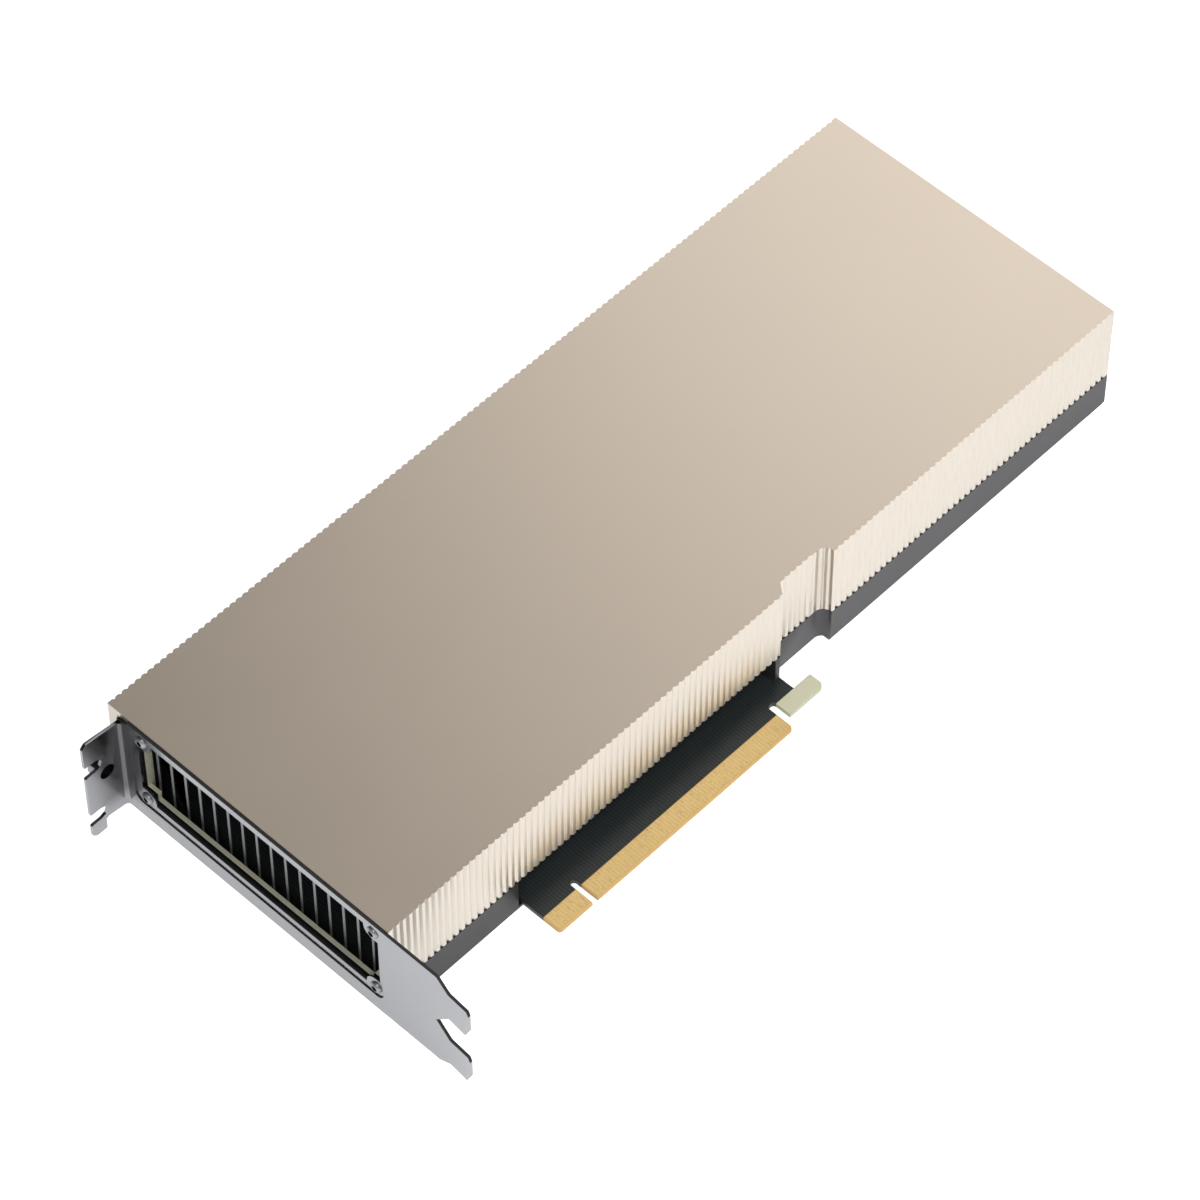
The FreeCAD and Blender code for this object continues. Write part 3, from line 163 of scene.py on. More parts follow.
class CardColours(bpy.types.PropertyGroup):
    """Base colours of the card's finishes."""

    champagne: colour("Champagne", "Anodised cover", (0.80, 0.668, 0.54))
    cover_side: colour("Cover side", "Ribbed sides of the cover", (0.74, 0.672, 0.592))
    frame_gold: colour("Frame gold", "Anodised frame inside the outlet", (0.95, 0.91, 0.70))
    dark_grey: colour("Dark grey", "Anodised base frame and back plate", (0.078, 0.075, 0.079))
    steel: colour("Steel", "Plated slot bracket", (0.37, 0.37, 0.385))
    bar_grey: colour("Bar grey", "Bare metal bars of the grille", (0.28, 0.28, 0.29))
    black_fin: colour("Black fin", "Black anodised heat sink", (0.012, 0.012, 0.013))
    board_mask: colour("Board mask", "Solder mask of the board", (0.012, 0.015, 0.015))
    laminate: colour("Laminate", "Bare glass laminate", (0.76, 0.74, 0.53))
    gold: colour("Gold", "Plating on the contacts and pins", (0.80, 0.59, 0.26))
    # Painted shade: the near-black given to the plate's up-facing cut edges.
    painted_edge_shade: colour("Cut edge", "Cut edges of the bracket's sheet", (0.05, 0.047, 0.047))
    gap_tan: colour("Gap tan", "Bare laminate between the contacts", (0.80, 0.50, 0.18))
    copper: colour("Copper", "Cold plate", (0.72, 0.36, 0.20))
    rubber: colour("Rubber", "Seal round the outlet", (0.010, 0.010, 0.010))


class CardLight(bpy.types.PropertyGroup):
    """Strength of the studio lamps, in watts."""

    side: watts("Side", "Lamp beside the connector side", 1.5)
    rear: watts("Rear", "Lamp beyond the air inlet", 3.0)
    top: watts("Top", "Broad lamp mirrored in the cover", 0.9)
    tongue: watts("Tongue", "Lamp over the edge connector", 2.15)
    front: watts("Front", "Lamp in front of the bracket", 3.2)


def sizes():
    return bpy.context.scene.card_sizes


def colours():
    return bpy.context.scene.card_colours


# ---------------------------------------------------------------- shader helpers

def add_node(tree, kind, values=None, **settings):
    """A node with its plain settings and its unlinked socket values."""
    node = tree.nodes.new(kind)
    for key, value in settings.items():
        setattr(node, key, value)
    for key, value in (values or {}).items():
        node.inputs[key].default_value = value
    return node


def link(tree, output, target):
    tree.links.new(output, target)


def new_group(name, inputs, outputs):
    """An empty shader group with named sockets; gives its tree and end nodes."""
    tree = bpy.data.node_groups.new(name, "ShaderNodeTree")
    for label, kind, default in inputs:
        socket = tree.interface.new_socket(name=label, in_out="INPUT", socket_type=kind)
        if default is not None:
            socket.default_value = default
    for label, kind in outputs:
        tree.interface.new_socket(name=label, in_out="OUTPUT", socket_type=kind)
    return tree, add_node(tree, "NodeGroupInput"), add_node(tree, "NodeGroupOutput")


def satin_group():
    """Fine bead-blasted grain with broad, faint patches."""
    made = bpy.data.node_groups.get("satin_grain")
    if made:
        return made
    tree, start, end = new_group(
        "satin_grain",
        [("Vector", "NodeSocketVector", None), ("Grain", "NodeSocketFloat", 9000.0),
         ("Patch", "NodeSocketFloat", 30.0)],
        [("Height", "NodeSocketFloat"), ("Patches", "NodeSocketFloat")])
    fine = add_node(tree, "ShaderNodeTexNoise", {"Detail": 2.0, "Roughness": 0.6})
    broad = add_node(tree, "ShaderNodeTexNoise", {"Detail": 3.0, "Roughness": 0.55})
    link(tree, start.outputs["Vector"], fine.inputs["Vector"])
    link(tree, start.outputs["Vector"], broad.inputs["Vector"])
    link(tree, start.outputs["Grain"], fine.inputs["Scale"])
    link(tree, start.outputs["Patch"], broad.inputs["Scale"])
    link(tree, fine.outputs["Fac"], end.inputs["Height"])
    link(tree, broad.outputs["Fac"], end.inputs["Patches"])
    return tree


def brushed_group():
    """Long scratches along one direction, drawn out by the Stretch vector."""
    made = bpy.data.node_groups.get("brushed_lines")
    if made:
        return made
    tree, start, end = new_group(
        "brushed_lines",
        [("Vector", "NodeSocketVector", None), ("Stretch", "NodeSocketVector", (1.0, 1.0, 1.0)),
         ("Scale", "NodeSocketFloat", 4000.0)],
        [("Lines", "NodeSocketFloat")])
    stretch = add_node(tree, "ShaderNodeVectorMath", operation="MULTIPLY")
    noise = add_node(tree, "ShaderNodeTexNoise", {"Detail": 3.0, "Roughness": 0.7})
    link(tree, start.outputs["Vector"], stretch.inputs[0])
    link(tree, start.outputs["Stretch"], stretch.inputs[1])
    link(tree, stretch.outputs["Vector"], noise.inputs["Vector"])
    link(tree, start.outputs["Scale"], noise.inputs["Scale"])
    link(tree, noise.outputs["Fac"], end.inputs["Lines"])
    return tree


def new_material(name):
    """A material with its Principled shader; gives the material, tree, shader and coordinates."""
    material = bpy.data.materials.new(name)
    material.use_nodes = True
    tree = material.node_tree
    shader = tree.nodes["Principled BSDF"]
    place = add_node(tree, "ShaderNodeTexCoord")
    return material, tree, shader, place.outputs["Object"]


def mapped(tree, value, low=0.0, high=1.0, start=0.0, end=1.0, **settings):
    """A value taken from one range to another, and held at its ends."""
    node = add_node(tree, "ShaderNodeMapRange", {"From Min": start, "From Max": end,
                                                 "To Min": low, "To Max": high}, **settings)
    link(tree, value, node.inputs["Value"])
    return node.outputs["Result"]


def plug(tree, value, target):
    """Link a socket to an input, or set the input to a plain value."""
    if isinstance(value, bpy.types.NodeSocket):
        link(tree, value, target)
    else:
        target.default_value = value


def calculate(tree, operation, first, second=0.5):
    """The result of a Math node on sockets or plain numbers."""
    node = add_node(tree, "ShaderNodeMath", operation=operation)
    plug(tree, first, node.inputs[0])
    plug(tree, second, node.inputs[1])
    return node.outputs[0]


def object_axes(tree):
    """A point's X, Y and Z in the object's own space."""
    parts = add_node(tree, "ShaderNodeSeparateXYZ")
    link(tree, add_node(tree, "ShaderNodeTexCoord").outputs["Object"], parts.inputs[0])
    return parts.outputs


def rgba(tone):
    return tone if isinstance(tone, bpy.types.NodeSocket) else (*tone, 1.0)


def tinted(tree, factor, first, second):
    """A colour mixed between two by a mask."""
    node = add_node(tree, "ShaderNodeMix", data_type="RGBA")
    plug(tree, rgba(first), node.inputs[MIX_A])
    plug(tree, rgba(second), node.inputs[MIX_B])
    link(tree, factor, node.inputs[0])
    return node.outputs[2]


def tint_base(material, factor, tone):
    """Mix a tone into a material's base colour by a mask."""
    tree = material.node_tree
    target = tree.nodes["Principled BSDF"].inputs["Base Color"]
    link(tree, tinted(tree, factor, target.links[0].from_socket, tone), target)


def shade(tone, factor):
    return tuple(min(1.0, value * factor) for value in tone)


def add_bump(tree, shader, height, distance, strength):
    bump = add_node(tree, "ShaderNodeBump", {"Strength": strength, "Distance": distance})
    link(tree, height, bump.inputs["Height"])
    link(tree, bump.outputs["Normal"], shader.inputs["Normal"])


def satin_metal(name, tone, metallic=0.85, rough=(0.34, 0.44), vary=0.05, grain=9000.0, patch=30.0,
                bump=0.12):
    """Bead-blasted, anodised or plated metal."""
    made = bpy.data.materials.get(name)
    if made:
        return made
    material, tree, shader, place = new_material(name)
    group = add_node(tree, "ShaderNodeGroup", node_tree=satin_group())
    group.inputs["Grain"].default_value = grain
    group.inputs["Patch"].default_value = patch
    link(tree, place, group.inputs["Vector"])
    patches = group.outputs["Patches"]
    base = tinted(tree, patches, shade(tone, 1 - vary), shade(tone, 1 + vary))
    link(tree, base, shader.inputs["Base Color"])
    link(tree, mapped(tree, patches, *rough), shader.inputs["Roughness"])
    shader.inputs["Metallic"].default_value = metallic
    add_bump(tree, shader, group.outputs["Height"], GRAIN_DEPTH, bump)
    return material


def brushed_metal(name, tone, stretch, metallic=0.9, rough=(0.28, 0.42), vary=0.08):
    """Metal with fine lines along one direction."""
    made = bpy.data.materials.get(name)
    if made:
        return made
    material, tree, shader, place = new_material(name)
    group = add_node(tree, "ShaderNodeGroup", node_tree=brushed_group())
    group.inputs["Stretch"].default_value = stretch
    link(tree, place, group.inputs["Vector"])
    lines = group.outputs["Lines"]
    base = tinted(tree, lines, shade(tone, 1 - vary), shade(tone, 1 + vary))
    link(tree, base, shader.inputs["Base Color"])
    link(tree, mapped(tree, lines, *rough), shader.inputs["Roughness"])
    shader.inputs["Metallic"].default_value = metallic
    add_bump(tree, shader, lines, GRAIN_DEPTH, 0.15)
    return material


def fade_to(material, axis, clear, full, tone):
    """Fade a material's base colour to another between two levels along an axis."""
    tree = material.node_tree
    tint_base(material, mapped(tree, object_axes(tree)[axis], start=clear, end=full), tone)


def darken(material, axis, clear, dark):
    """Fade a material's base colour to near black between two levels along an axis, as painted shade."""
    fade_to(material, axis, clear, dark, NEAR_BLACK)


def moulded(name, tone, rough=(0.45, 0.62), vary=0.15):
    """Moulded plastic, rubber or ferrite with a fine texture."""
    return satin_metal(name, tone, 0.0, rough, vary, grain=6000.0, patch=60.0, bump=0.2)


def contact_gold():
    return brushed_metal("contact_gold", colours().gold, (1.0, 0.1, 1.0), 0.45, (0.22, 0.36), 0.06)


def black_mould():
    return moulded("black_mould", MOULD_BLACK)


# ---------------------------------------------------------------- mesh helpers

def finish_piece(piece, nodes, slot, *materials):
    """Hand a finished mesh over: its body, the solids it stands for and its materials."""
    for material in materials:
        piece.data.materials.append(material)
    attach(piece, "root")
    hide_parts(*nodes)


def piece_from(name, bm):
    """A new object in the scene with a finished mesh."""
    mesh = bpy.data.meshes.new(name)
    bm.to_mesh(mesh)
    bm.free()
    piece = bpy.data.objects.new(name, mesh)
    bpy.context.scene.collection.objects.link(piece)
    return piece


def merged(node):
    """The solid's surface as one closed mesh without its flat triangulation."""
    bm = bmesh.new()
    bm.from_mesh(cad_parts[node].data)
    bmesh.ops.remove_doubles(bm, verts=bm.verts, dist=MERGE_GAP)
    bmesh.ops.dissolve_limit(bm, angle_limit=math.radians(FLAT_ANGLE), use_dissolve_boundaries=False,
                             verts=bm.verts, edges=bm.edges, delimit={"NORMAL"})
    return bm


def smooth(piece, angle=SHARP_ANGLE):
    piece.data.shade_smooth()
    piece.data.set_sharp_from_angle(angle=math.radians(angle))


def soften(piece, width, segments=None):
    """Rounded edges, with the flats kept flat."""
    bevel = piece.modifiers.new("edges", "BEVEL")
    bevel.width = width
    bevel.segments = segments or sizes().edge_segments
    bevel.limit_method = "ANGLE"
    bevel.angle_limit = math.radians(SHARP_ANGLE)
    bevel.harden_normals = True
    bevel.use_clamp_overlap = True


def softened(node, name, slot, material, width, segments=None):
    """A piece that takes a solid's shape and adds its rounded edges."""
    piece = piece_from(name, merged(node))
    smooth(piece)
    soften(piece, width, segments)
    finish_piece(piece, [node], slot, material)


def turned(bm, profile, centre, axis, steps):
    """A closed turned form from (radius, height) points along an axis."""
    turn = Vector((0, 0, 1)).rotation_difference(axis).to_matrix().to_4x4()
    place = Matrix.Translation(centre) @ turn
    ring = [bm.verts.new(place @ Vector((radius, 0, height))) for radius, height in profile]
    edges = [bm.edges.new(pair) for pair in zip(ring, ring[1:])]
    bmesh.ops.spin(bm, geom=ring + edges, cent=centre, axis=axis, angle=math.tau, steps=steps,
                   use_merge=True)


def corners(node):
    """Lowest and highest corner of a solid, as vectors."""
    low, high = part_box(node)
    return Vector(low), Vector(high)


def solids_of(node):
    """Middle and half size of each separate solid in a node."""
    bm = bmesh.new()
    bm.from_mesh(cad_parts[node].data)
    bmesh.ops.remove_doubles(bm, verts=bm.verts, dist=MERGE_GAP)
    left = set(bm.verts)
    found = []
    while left:
        stack = [left.pop()]
        island = []
        while stack:
            vert = stack.pop()
            island.append(vert.co.copy())
            for edge in vert.link_edges:
                other = edge.other_vert(vert)
                if other in left:
                    left.remove(other)
                    stack.append(other)
        low = Vector(min(co[i] for co in island) for i in range(3))
        high = Vector(max(co[i] for co in island) for i in range(3))
        found.append(((low + high) / 2, (high - low) / 2))
    bm.free()
    return sorted(found, key=lambda item: tuple(item[0]))


# ---------------------------------------------------------------- operators

class CoverOperator(bpy.types.Operator):
    """Finish the ribbed cover"""

    bl_idname = "card.cover"
    bl_label = "Cover"

    def execute(self, context):
        material = satin_metal("champagne_anodised", colours().champagne, rough=(0.37, 0.41), vary=0.03)
        top = corners("shroud")[1].z
        fade_to(material, "Z", top - sizes().side_start, top - sizes().side_full, colours().cover_side)
        self.flutes(material)
        softened("shroud", "cover", "champagne_cover", material, sizes().cover_edge)
        return {"FINISHED"}

    def flutes(self, material):
        """Upright flutes that run round the latch notch's rounded end, with painted shade in their grooves.
        """
        tree = material.node_tree
        shader = tree.nodes["Principled BSDF"]
        low, high = corners("shroud")
        start = low.x + sizes().notch_round_start
        x, y, z = object_axes(tree)
        turns = calculate(tree, "MULTIPLY", calculate(tree, "SUBTRACT", x, y), math.tau / sizes().flute_pitch)
        mask = calculate(tree, "SINE", turns)
        limits = [("GREATER_THAN", x, start), ("LESS_THAN", x, start + sizes().notch_round),
                  ("GREATER_THAN", y, low.y + SKIN), ("LESS_THAN", y, low.y + sizes().notch_reach),
                  ("LESS_THAN", z, high.z - SKIN)]
        for test, value, limit in limits:
            mask = calculate(tree, "MULTIPLY", mask, calculate(tree, test, value, limit))
        # Painted shade: the base colour darkens towards a darker champagne in the flutes' grooves, beside
        # their bump.
        tint_base(material, mapped(tree, mask, high=0.22, start=0.2), shade(colours().champagne, 0.45))
        ridges = add_node(tree, "ShaderNodeBump", {"Strength": 0.6, "Distance": sizes().flute_depth},
                          invert=True)
        link(tree, mask, ridges.inputs["Height"])
        grain = shader.inputs["Normal"].links[0].from_node
        link(tree, ridges.outputs["Normal"], grain.inputs["Normal"])


class BaseOperator(bpy.types.Operator):
    """Finish the base frame, back plate and the screws in them"""

    bl_idname = "card.base"
    bl_label = "Base"

    def execute(self, context):
        material = satin_metal("dark_grey_anodised", colours().dark_grey, 0.6, (0.38, 0.5), 0.10)
        low, high = corners("base_frame")
        # Painted shade: the rail darkens towards the base's front.
        fade_to(material, "X", low.x + sizes().rail_shade_clear, low.x + sizes().rail_shade_full,
                shade(colours().dark_grey, 0.55))
        # Painted shadow: a near-black band along the base frame's top, under the cover's ribs.
        darken(material, "Z", high.z - sizes().seam_shadow_start, high.z - sizes().seam_shadow_full)
        softened("base_frame", "lower_frame", "dark_grey_metal", material, sizes().base_edge)
        softened("back_plate", "back_cover", "dark_grey_metal", material, sizes().base_edge)
        steel = satin_metal("screw_steel", (0.30, 0.30, 0.31), 0.9, (0.25, 0.4), 0.1)
        for node in ("rail_screws", "clamp_screws"):
            softened(node, node + "_finished", "screw_steel", steel, sizes().screw_edge, 1)
        return {"FINISHED"}


class BracketOperator(bpy.types.Operator):
    """Finish the folded slot bracket and its four screws"""

    bl_idname = "card.bracket"
    bl_label = "Bracket"

    def execute(self, context):
        steel = brushed_metal("plated_bracket_steel", colours().steel, (1.0, 0.12, 1.0), 1.0, (0.16, 0.28))
        # Painted shade beside the fold, in the plating's base colour.
        self.fold_painted_shade(steel)
        # Painted shade: the plate's up-facing cut edges take a near-black material with almost no specular.
        edges = moulded("painted_shade_bracket_edge", colours().painted_edge_shade, (0.6, 0.7))
        shader = edges.node_tree.nodes["Principled BSDF"]
        shader.inputs["Specular IOR Level"].default_value = 0.05
        bm = merged("bracket")
        plate_end = corners("shroud")[1].y - sizes().flange_setback
        for face in bm.faces:
            in_plate = face.calc_center_median().y < plate_end
            faces_up = abs(face.normal.x) < EDGE_LEAN and face.normal.z > EDGE_RISE
            face.material_index = int(in_plate and faces_up)
        piece = piece_from("slot_bracket", bm)
        smooth(piece)
        soften(piece, sizes().sheet_edge)
        finish_piece(piece, ["bracket"], "bracket_steel", steel, edges)
        self.screws()
        return {"FINISHED"}

    def screws(self):
        """Domed heads with a straight rim, a driver socket and a plain shank; the socket's walls and floor
        take a near-black material as painted shade.
        """
        bm = bmesh.new()
        height, depth = sizes().head_height, sizes().socket_depth
        screws = solids_of("bracket_screws")
        for middle, half in screws:
            head, length = half.y, half.x * 2
            socket = head * sizes().socket_share
            profile = [(0.0, depth), (socket * 0.95, depth), (socket, 0.0001), (socket * 1.15, 0.0),
                       (head * 0.62, 0.00006), (head * 0.84, 0.0003), (head, height - sizes().screw_rim),
                       (head, height), (head * 0.5, height), (head * 0.5, length - sizes().shank_chamfer),
                       (head * 0.38, length), (0.0, length)]
            turned(bm, profile, Vector((middle.x - half.x, middle.y, middle.z)), Vector((1, 0, 0)), 40)
        bmesh.ops.remove_doubles(bm, verts=bm.verts, dist=SPUN_GAP)
        bmesh.ops.recalc_face_normals(bm, faces=bm.faces)
        for face in bm.faces:
            face.material_index = int(self.in_socket(face.calc_center_median(), screws))
        piece = piece_from("window_screws", bm)
        smooth(piece, 40.0)
        steel = satin_metal("bright_screw_steel", (0.42, 0.42, 0.44), 0.8, (0.34, 0.44), 0.1)
        # Painted shade: near-black material in the driver sockets.
        socket = satin_metal("screw_socket_shade", (0.006, 0.006, 0.006), 0.9, (0.7, 0.8), 0.1)
        finish_piece(piece, ["bracket_screws"], "screw_steel", steel, socket)

    def in_socket(self, point, screws):
        """True on the walls and floor of a head's driver socket."""
        for middle, half in screws:
            reach = math.hypot(point.y - middle.y, point.z - middle.z)
            depth = point.x - (middle.x - half.x)
            if reach < half.y * sizes().socket_share * 0.99 and depth < sizes().socket_depth + SKIN:
                return True
        return False

    def fold_painted_shade(self, material):
        """Painted shade beside the fold, above the bracket's lower strip: the plating's base colour darkens
        towards the fold.
        """
        tree = material.node_tree
        place = add_node(tree, "ShaderNodeTexCoord").outputs["Object"]
        low, high = corners("shroud")
        level = add_node(tree, "ShaderNodeVectorMath", {1: (1.0, 1.0, 0.0)}, operation="MULTIPLY")
        link(tree, place, level.inputs[0])
        fold = (low.x, high.y - sizes().fold_shade_inset, 0.0)
        reach = add_node(tree, "ShaderNodeVectorMath", {1: fold}, operation="DISTANCE")
        link(tree, level.outputs[0], reach.inputs[0])
        near = mapped(tree, reach.outputs["Value"], start=sizes().fold_shade_reach, end=sizes().fold_shade_core,
                      interpolation_type="SMOOTHSTEP")
        above = mapped(tree, object_axes(tree)["Z"], start=sizes().strip_top, end=sizes().fold_shade_full_level)
        tint_base(material, calculate(tree, "MULTIPLY", near, above), shade(colours().steel, 0.42))


class OutletOperator(bpy.types.Operator):
    """Finish the seal, frame and bars in the outlet window"""

    bl_idname = "card.outlet"
    bl_label = "Outlet"

    def execute(self, context):
        rubber = moulded("seal_rubber", colours().rubber, (0.6, 0.8))
        softened("vent_gasket", "outlet_seal", "black_rubber", rubber, sizes().seal_edge, 1)
        gold = satin_metal("frame_gold_anodised", colours().frame_gold, 0.15, (0.35, 0.48))
        front = corners("front_frame")[0].x
        # Painted shadow at the frame's front edge and painted shade on its rear part, both near black.
        darken(gold, "X", front + sizes().outlet_shadow_clear, front + sizes().outlet_shadow_full)
        darken(gold, "X", front + sizes().outlet_back_shade_clear, front + sizes().outlet_back_shade_full)
        softened("front_frame", "outlet_frame", "champagne_cover", gold, sizes().grille_edge)
        bars = brushed_metal("bare_bars", colours().bar_grey, (1.0, 1.0, 0.1))
        low, high = corners("vent_grille")
        # Painted shade: the bars fade to near black towards their foot.
        darken(bars, "Z", high.z - sizes().bar_shade_clear, low.z + sizes().bar_shade_full)
        softened("vent_grille", "outlet_bars", "bare_aluminium", bars, sizes().grille_edge)
        return {"FINISHED"}


class BoardOperator(bpy.types.Operator):
    """Finish the circuit board and its edge contacts"""

    bl_idname = "card.board"
    bl_label = "Board"

    def execute(self, context):
        softened("circuit_board", "board", "board_laminate", self.board_material(), sizes().board_edge)
        for node in ("contacts_top", "contacts_bottom"):
            softened(node, node + "_plated", "gold_plating", contact_gold(), sizes().contact_edge, 1)
        return {"FINISHED"}

    def board_material(self):
        """Dark solder mask with faint tracks; bare laminate along the tongue's tip and the hook."""
        material, tree, shader, place = new_material("board_mask")
        high = corners("contacts_top")[1]
        x, y, z = object_axes(tree)
        tip = mapped(tree, y, 1.0, 0.0, high.y, high.y + sizes().tip_blend)
        past_contacts = calculate(tree, "GREATER_THAN", x, high.x + sizes().hook_gap)
        outside = calculate(tree, "LESS_THAN", y, high.y + sizes().hook_side)
        on_hook = calculate(tree, "MULTIPLY", past_contacts, outside)
        tracks = add_node(tree, "ShaderNodeTexWave", {"Scale": 330.0, "Distortion": 3.0, "Detail": 2.0,
                                                      "Detail Scale": 0.6}, bands_direction="X")
        link(tree, place, tracks.inputs["Vector"])
        mask = colours().board_mask
        raised = mapped(tree, tracks.outputs["Fac"], 0.0, 0.6)
        dark = tinted(tree, raised, shade(mask, 0.9), shade(mask, 3.2))
        tan = tinted(tree, tip, dark, colours().gap_tan)
        full = tinted(tree, on_hook, tan, colours().laminate)
        link(tree, full, shader.inputs["Base Color"])
        group = add_node(tree, "ShaderNodeGroup", node_tree=satin_group())
        link(tree, place, group.inputs["Vector"])
        link(tree, mapped(tree, group.outputs["Patches"], 0.35, 0.5), shader.inputs["Roughness"])
        add_bump(tree, shader, tracks.outputs["Fac"], 0.00002, 0.25)
        return material


class HeatSinkOperator(bpy.types.Operator):
    """Finish the finned heat sink and its cold plate"""

    bl_idname = "card.heat_sink"
    bl_label = "Heat sink"

    def execute(self, context):
        black = satin_metal("black_anodised", colours().black_fin, 0.3, (0.45, 0.6), 0.2)
        softened("heat_sink", "fin_block", "black_heat_sink", black, sizes().fin_edge, 1)
        copper = brushed_metal("machined_copper", colours().copper, (1.0, 0.1, 1.0))
        softened("cold_plate", "copper_plate", "copper", copper, sizes().part_edge)
        return {"FINISHED"}


class InnerPartsOperator(bpy.types.Operator):
    """Finish the processor package, power parts and other parts inside the card"""

    bl_idname = "card.inner_parts"
    bl_label = "Inner parts"

    def execute(self, context):
        silicon = moulded("polished_silicon", (0.05, 0.055, 0.07), (0.12, 0.22), 0.1)
        ferrite = moulded("ferrite", (0.028, 0.028, 0.030), (0.5, 0.7), 0.2)
        plastic = black_mould()
        laminate = moulded("package_green", (0.02, 0.07, 0.03), (0.35, 0.5))
        film = moulded("insulating_film", (0.02, 0.02, 0.02), (0.3, 0.45))
        soft = moulded("thermal_pad_grey", (0.16, 0.18, 0.21), (0.7, 0.85))
        ring = brushed_metal("stiffener_metal", (0.55, 0.55, 0.55), (0.1, 1.0, 1.0))
        turned_brass = brushed_metal("turned_brass", (0.62, 0.46, 0.20), (1.0, 1.0, 0.1))
        plan = [("gpu_substrate", "package_laminate", laminate), ("gpu_die", "silicon", silicon),
                ("memory_stacks", "silicon", silicon), ("substrate_stiffener", "bare_aluminium", ring),
                ("power_inductors", "ferrite", ferrite), ("input_chokes", "ferrite", ferrite),
                ("capacitors", "ferrite", ferrite), ("power_stages", "black_plastic", plastic),
                ("board_controller", "black_plastic", plastic), ("flash_memory", "black_plastic", plastic),
                ("thermal_pads", "thermal_pad", soft), ("insulating_sheet", "insulating_film", film),
                ("board_standoffs", "brass", turned_brass)]
        for node, slot, material in plan:
            low, high = corners(node)
            width = min(sizes().part_edge, (high.z - low.z) * 0.2)
            softened(node, node + "_finished", slot, material, width, 1)
        return {"FINISHED"}


class PowerSocketOperator(bpy.types.Operator):
    """Finish the power socket and its pins"""

    bl_idname = "card.power_socket"
    bl_label = "Power socket"

    def execute(self, context):
        softened("power_connector", "power_socket", "black_plastic", black_mould(), sizes().part_edge)
        softened("power_pins", "socket_pins", "gold_plating", contact_gold(), sizes().pin_edge, 1)
        return {"FINISHED"}


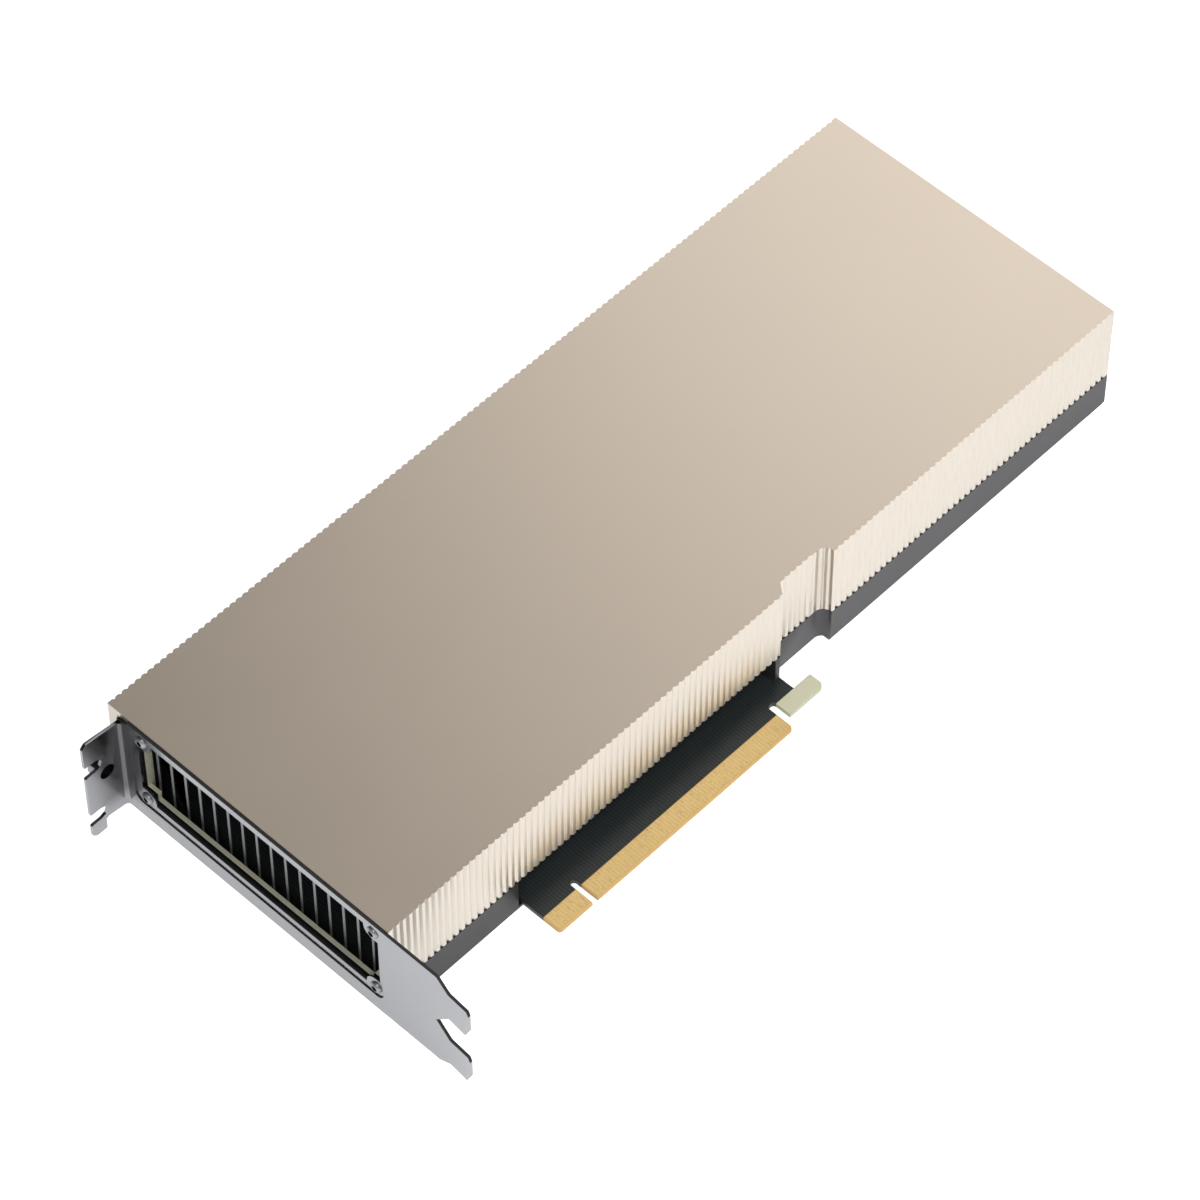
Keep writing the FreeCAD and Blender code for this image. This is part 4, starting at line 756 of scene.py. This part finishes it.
class StageOperator(bpy.types.Operator):
    """Set the floor, backdrop light, lamps and camera"""

    bl_idname = "card.stage"
    bl_label = "Stage"

    def execute(self, context):
        self.floor()
        self.world(context.scene)
        self.lamps(context.scene.card_light)
        self.camera(context.scene)
        return {"FINISHED"}

    def floor(self):
        """A pale floor that reads as white and keeps the card's shadow."""
        bm = bmesh.new()
        bmesh.ops.create_grid(bm, x_segments=1, y_segments=1, size=FLOOR_SIZE)
        bmesh.ops.translate(bm, verts=bm.verts, vec=(0, 0, CAD_BOX[0].z - 0.0001))
        floor = piece_from("floor", bm)
        material, tree, shader, _ = new_material("pale_floor")
        shader.inputs["Base Color"].default_value = (0.86, 0.86, 0.86, 1.0)
        shader.inputs["Roughness"].default_value = 0.9
        shader.inputs["Specular IOR Level"].default_value = 0.1
        mirrored = calculate(tree, "MULTIPLY", self.seen_rays(tree), FLOOR_MIRRORED)
        path = add_node(tree, "ShaderNodeLightPath")
        glow = calculate(tree, "MAXIMUM", mirrored, path.outputs["Is Camera Ray"])
        shader.inputs["Emission Color"].default_value = (1, 1, 1, 1)
        link(tree, glow, shader.inputs["Emission Strength"])
        floor.data.materials.append(material)

    def seen_rays(self, tree):
        """1 for rays from the camera and from mirrors and glass, else 0."""
        path = add_node(tree, "ShaderNodeLightPath").outputs
        first = calculate(tree, "MAXIMUM", path["Is Camera Ray"], path["Is Glossy Ray"])
        return calculate(tree, "MAXIMUM", first, path["Is Transmission Ray"])

    def world(self, scene):
        """White at the horizon and dim overhead, as in a studio with a low white backdrop."""
        world = bpy.data.worlds.new("studio")
        scene.world = world
        world.use_nodes = True
        tree = world.node_tree
        sky = tree.nodes["Background"]
        place = add_node(tree, "ShaderNodeTexCoord")
        parts = add_node(tree, "ShaderNodeSeparateXYZ")
        link(tree, place.outputs["Generated"], parts.inputs[0])
        height = mapped(tree, parts.outputs["Z"], 1.0, OVERHEAD_LEVEL, HORIZON, OVERHEAD)
        level = mapped(tree, self.seen_rays(tree), BACKDROP_FILL, 1.0)
        path = add_node(tree, "ShaderNodeLightPath")
        strength = calculate(tree, "MULTIPLY", height, level)
        final = calculate(tree, "MAXIMUM", strength, path.outputs["Is Camera Ray"])
        link(tree, final, sky.inputs["Strength"])

    def lamps(self, light):
        """Area lamps: name, power, place, target, width and height."""
        plan = [("side_lamp", light.side, (0.05, -0.95, 0.42), (0.02, -0.04, 0.01), 0.9, 0.5),
                ("rear_lamp", light.rear, (0.90, 0.40, 0.84), (0.10, 0.0, 0.04), 0.9, 0.7),
                ("top_lamp", light.top, (0.65, 0.63, 1.20), (0.0, 0.0, 0.04), 1.5, 1.5),
                ("tongue_lamp", light.tongue, (-0.02, -0.38, 0.55), (-0.03, -0.06, 0.0), 0.35, 0.35),
                ("front_lamp", light.front, (-0.75, -0.35, 0.80), (-0.13, 0.0, 0.02), 0.5, 0.5)]
        for name, power, place, target, wide, tall in plan:
            data = bpy.data.lights.new(name, "AREA")
            data.shape = "RECTANGLE"
            data.size, data.size_y = wide, tall
            data.energy = power
            data.color = LAMP_COLOUR
            lamp = bpy.data.objects.new(name, data)
            bpy.context.scene.collection.objects.link(lamp)
            lamp.location = place
            lamp.rotation_euler = (Vector(target) - Vector(place)).to_track_quat("-Z", "Y").to_euler()

    def camera(self, scene):
        """A long lens above the bracket's corner, and the plain view transform."""
        data = bpy.data.cameras.new("camera")
        data.sensor_width = 36.0
        data.lens = LENS
        data.clip_start, data.clip_end = 0.05, 20.0
        camera = bpy.data.objects.new("camera", data)
        scene.collection.objects.link(camera)
        right, up = Vector(CAMERA_RIGHT), Vector(CAMERA_UP)
        turn = Matrix((right, up, right.cross(up))).transposed().to_4x4()
        camera.matrix_world = Matrix.Translation(CAMERA_PLACE) @ turn
        scene.camera = camera
        scene.view_settings.view_transform = "Standard"


class CardPanel(bpy.types.Panel):
    """Sizes, colours and steps of the accelerator card"""

    bl_idname = "CARD_PT_panel"
    bl_label = "Accelerator card"
    bl_space_type = "VIEW_3D"
    bl_region_type = "UI"
    bl_category = "Accelerator card"

    def draw(self, context):
        scene = context.scene
        for group in (scene.card_sizes, scene.card_colours, scene.card_light):
            box = self.layout.box()
            for key in group.bl_rna.properties.keys():
                if key not in ("rna_type", "name"):
                    box.prop(group, key)
        for step in STEPS:
            self.layout.operator(step.bl_idname)


STEPS = (CoverOperator, BaseOperator, BracketOperator, OutletOperator, BoardOperator, HeatSinkOperator,
         InnerPartsOperator, PowerSocketOperator, StageOperator)
CLASSES = (CardSizes, CardColours, CardLight, *STEPS, CardPanel)


def register():
    for item in CLASSES:
        bpy.utils.register_class(item)
    bpy.types.Scene.card_sizes = PointerProperty(type=CardSizes)
    bpy.types.Scene.card_colours = PointerProperty(type=CardColours)
    bpy.types.Scene.card_light = PointerProperty(type=CardLight)


def unregister():
    for key in ("card_light", "card_colours", "card_sizes"):
        delattr(bpy.types.Scene, key)
    for item in reversed(CLASSES):
        bpy.utils.unregister_class(item)


def main():
    register()
    for step in STEPS:
        family, name = step.bl_idname.split(".")
        getattr(getattr(bpy.ops, family), name)()


if __name__ == "__main__":
    main()
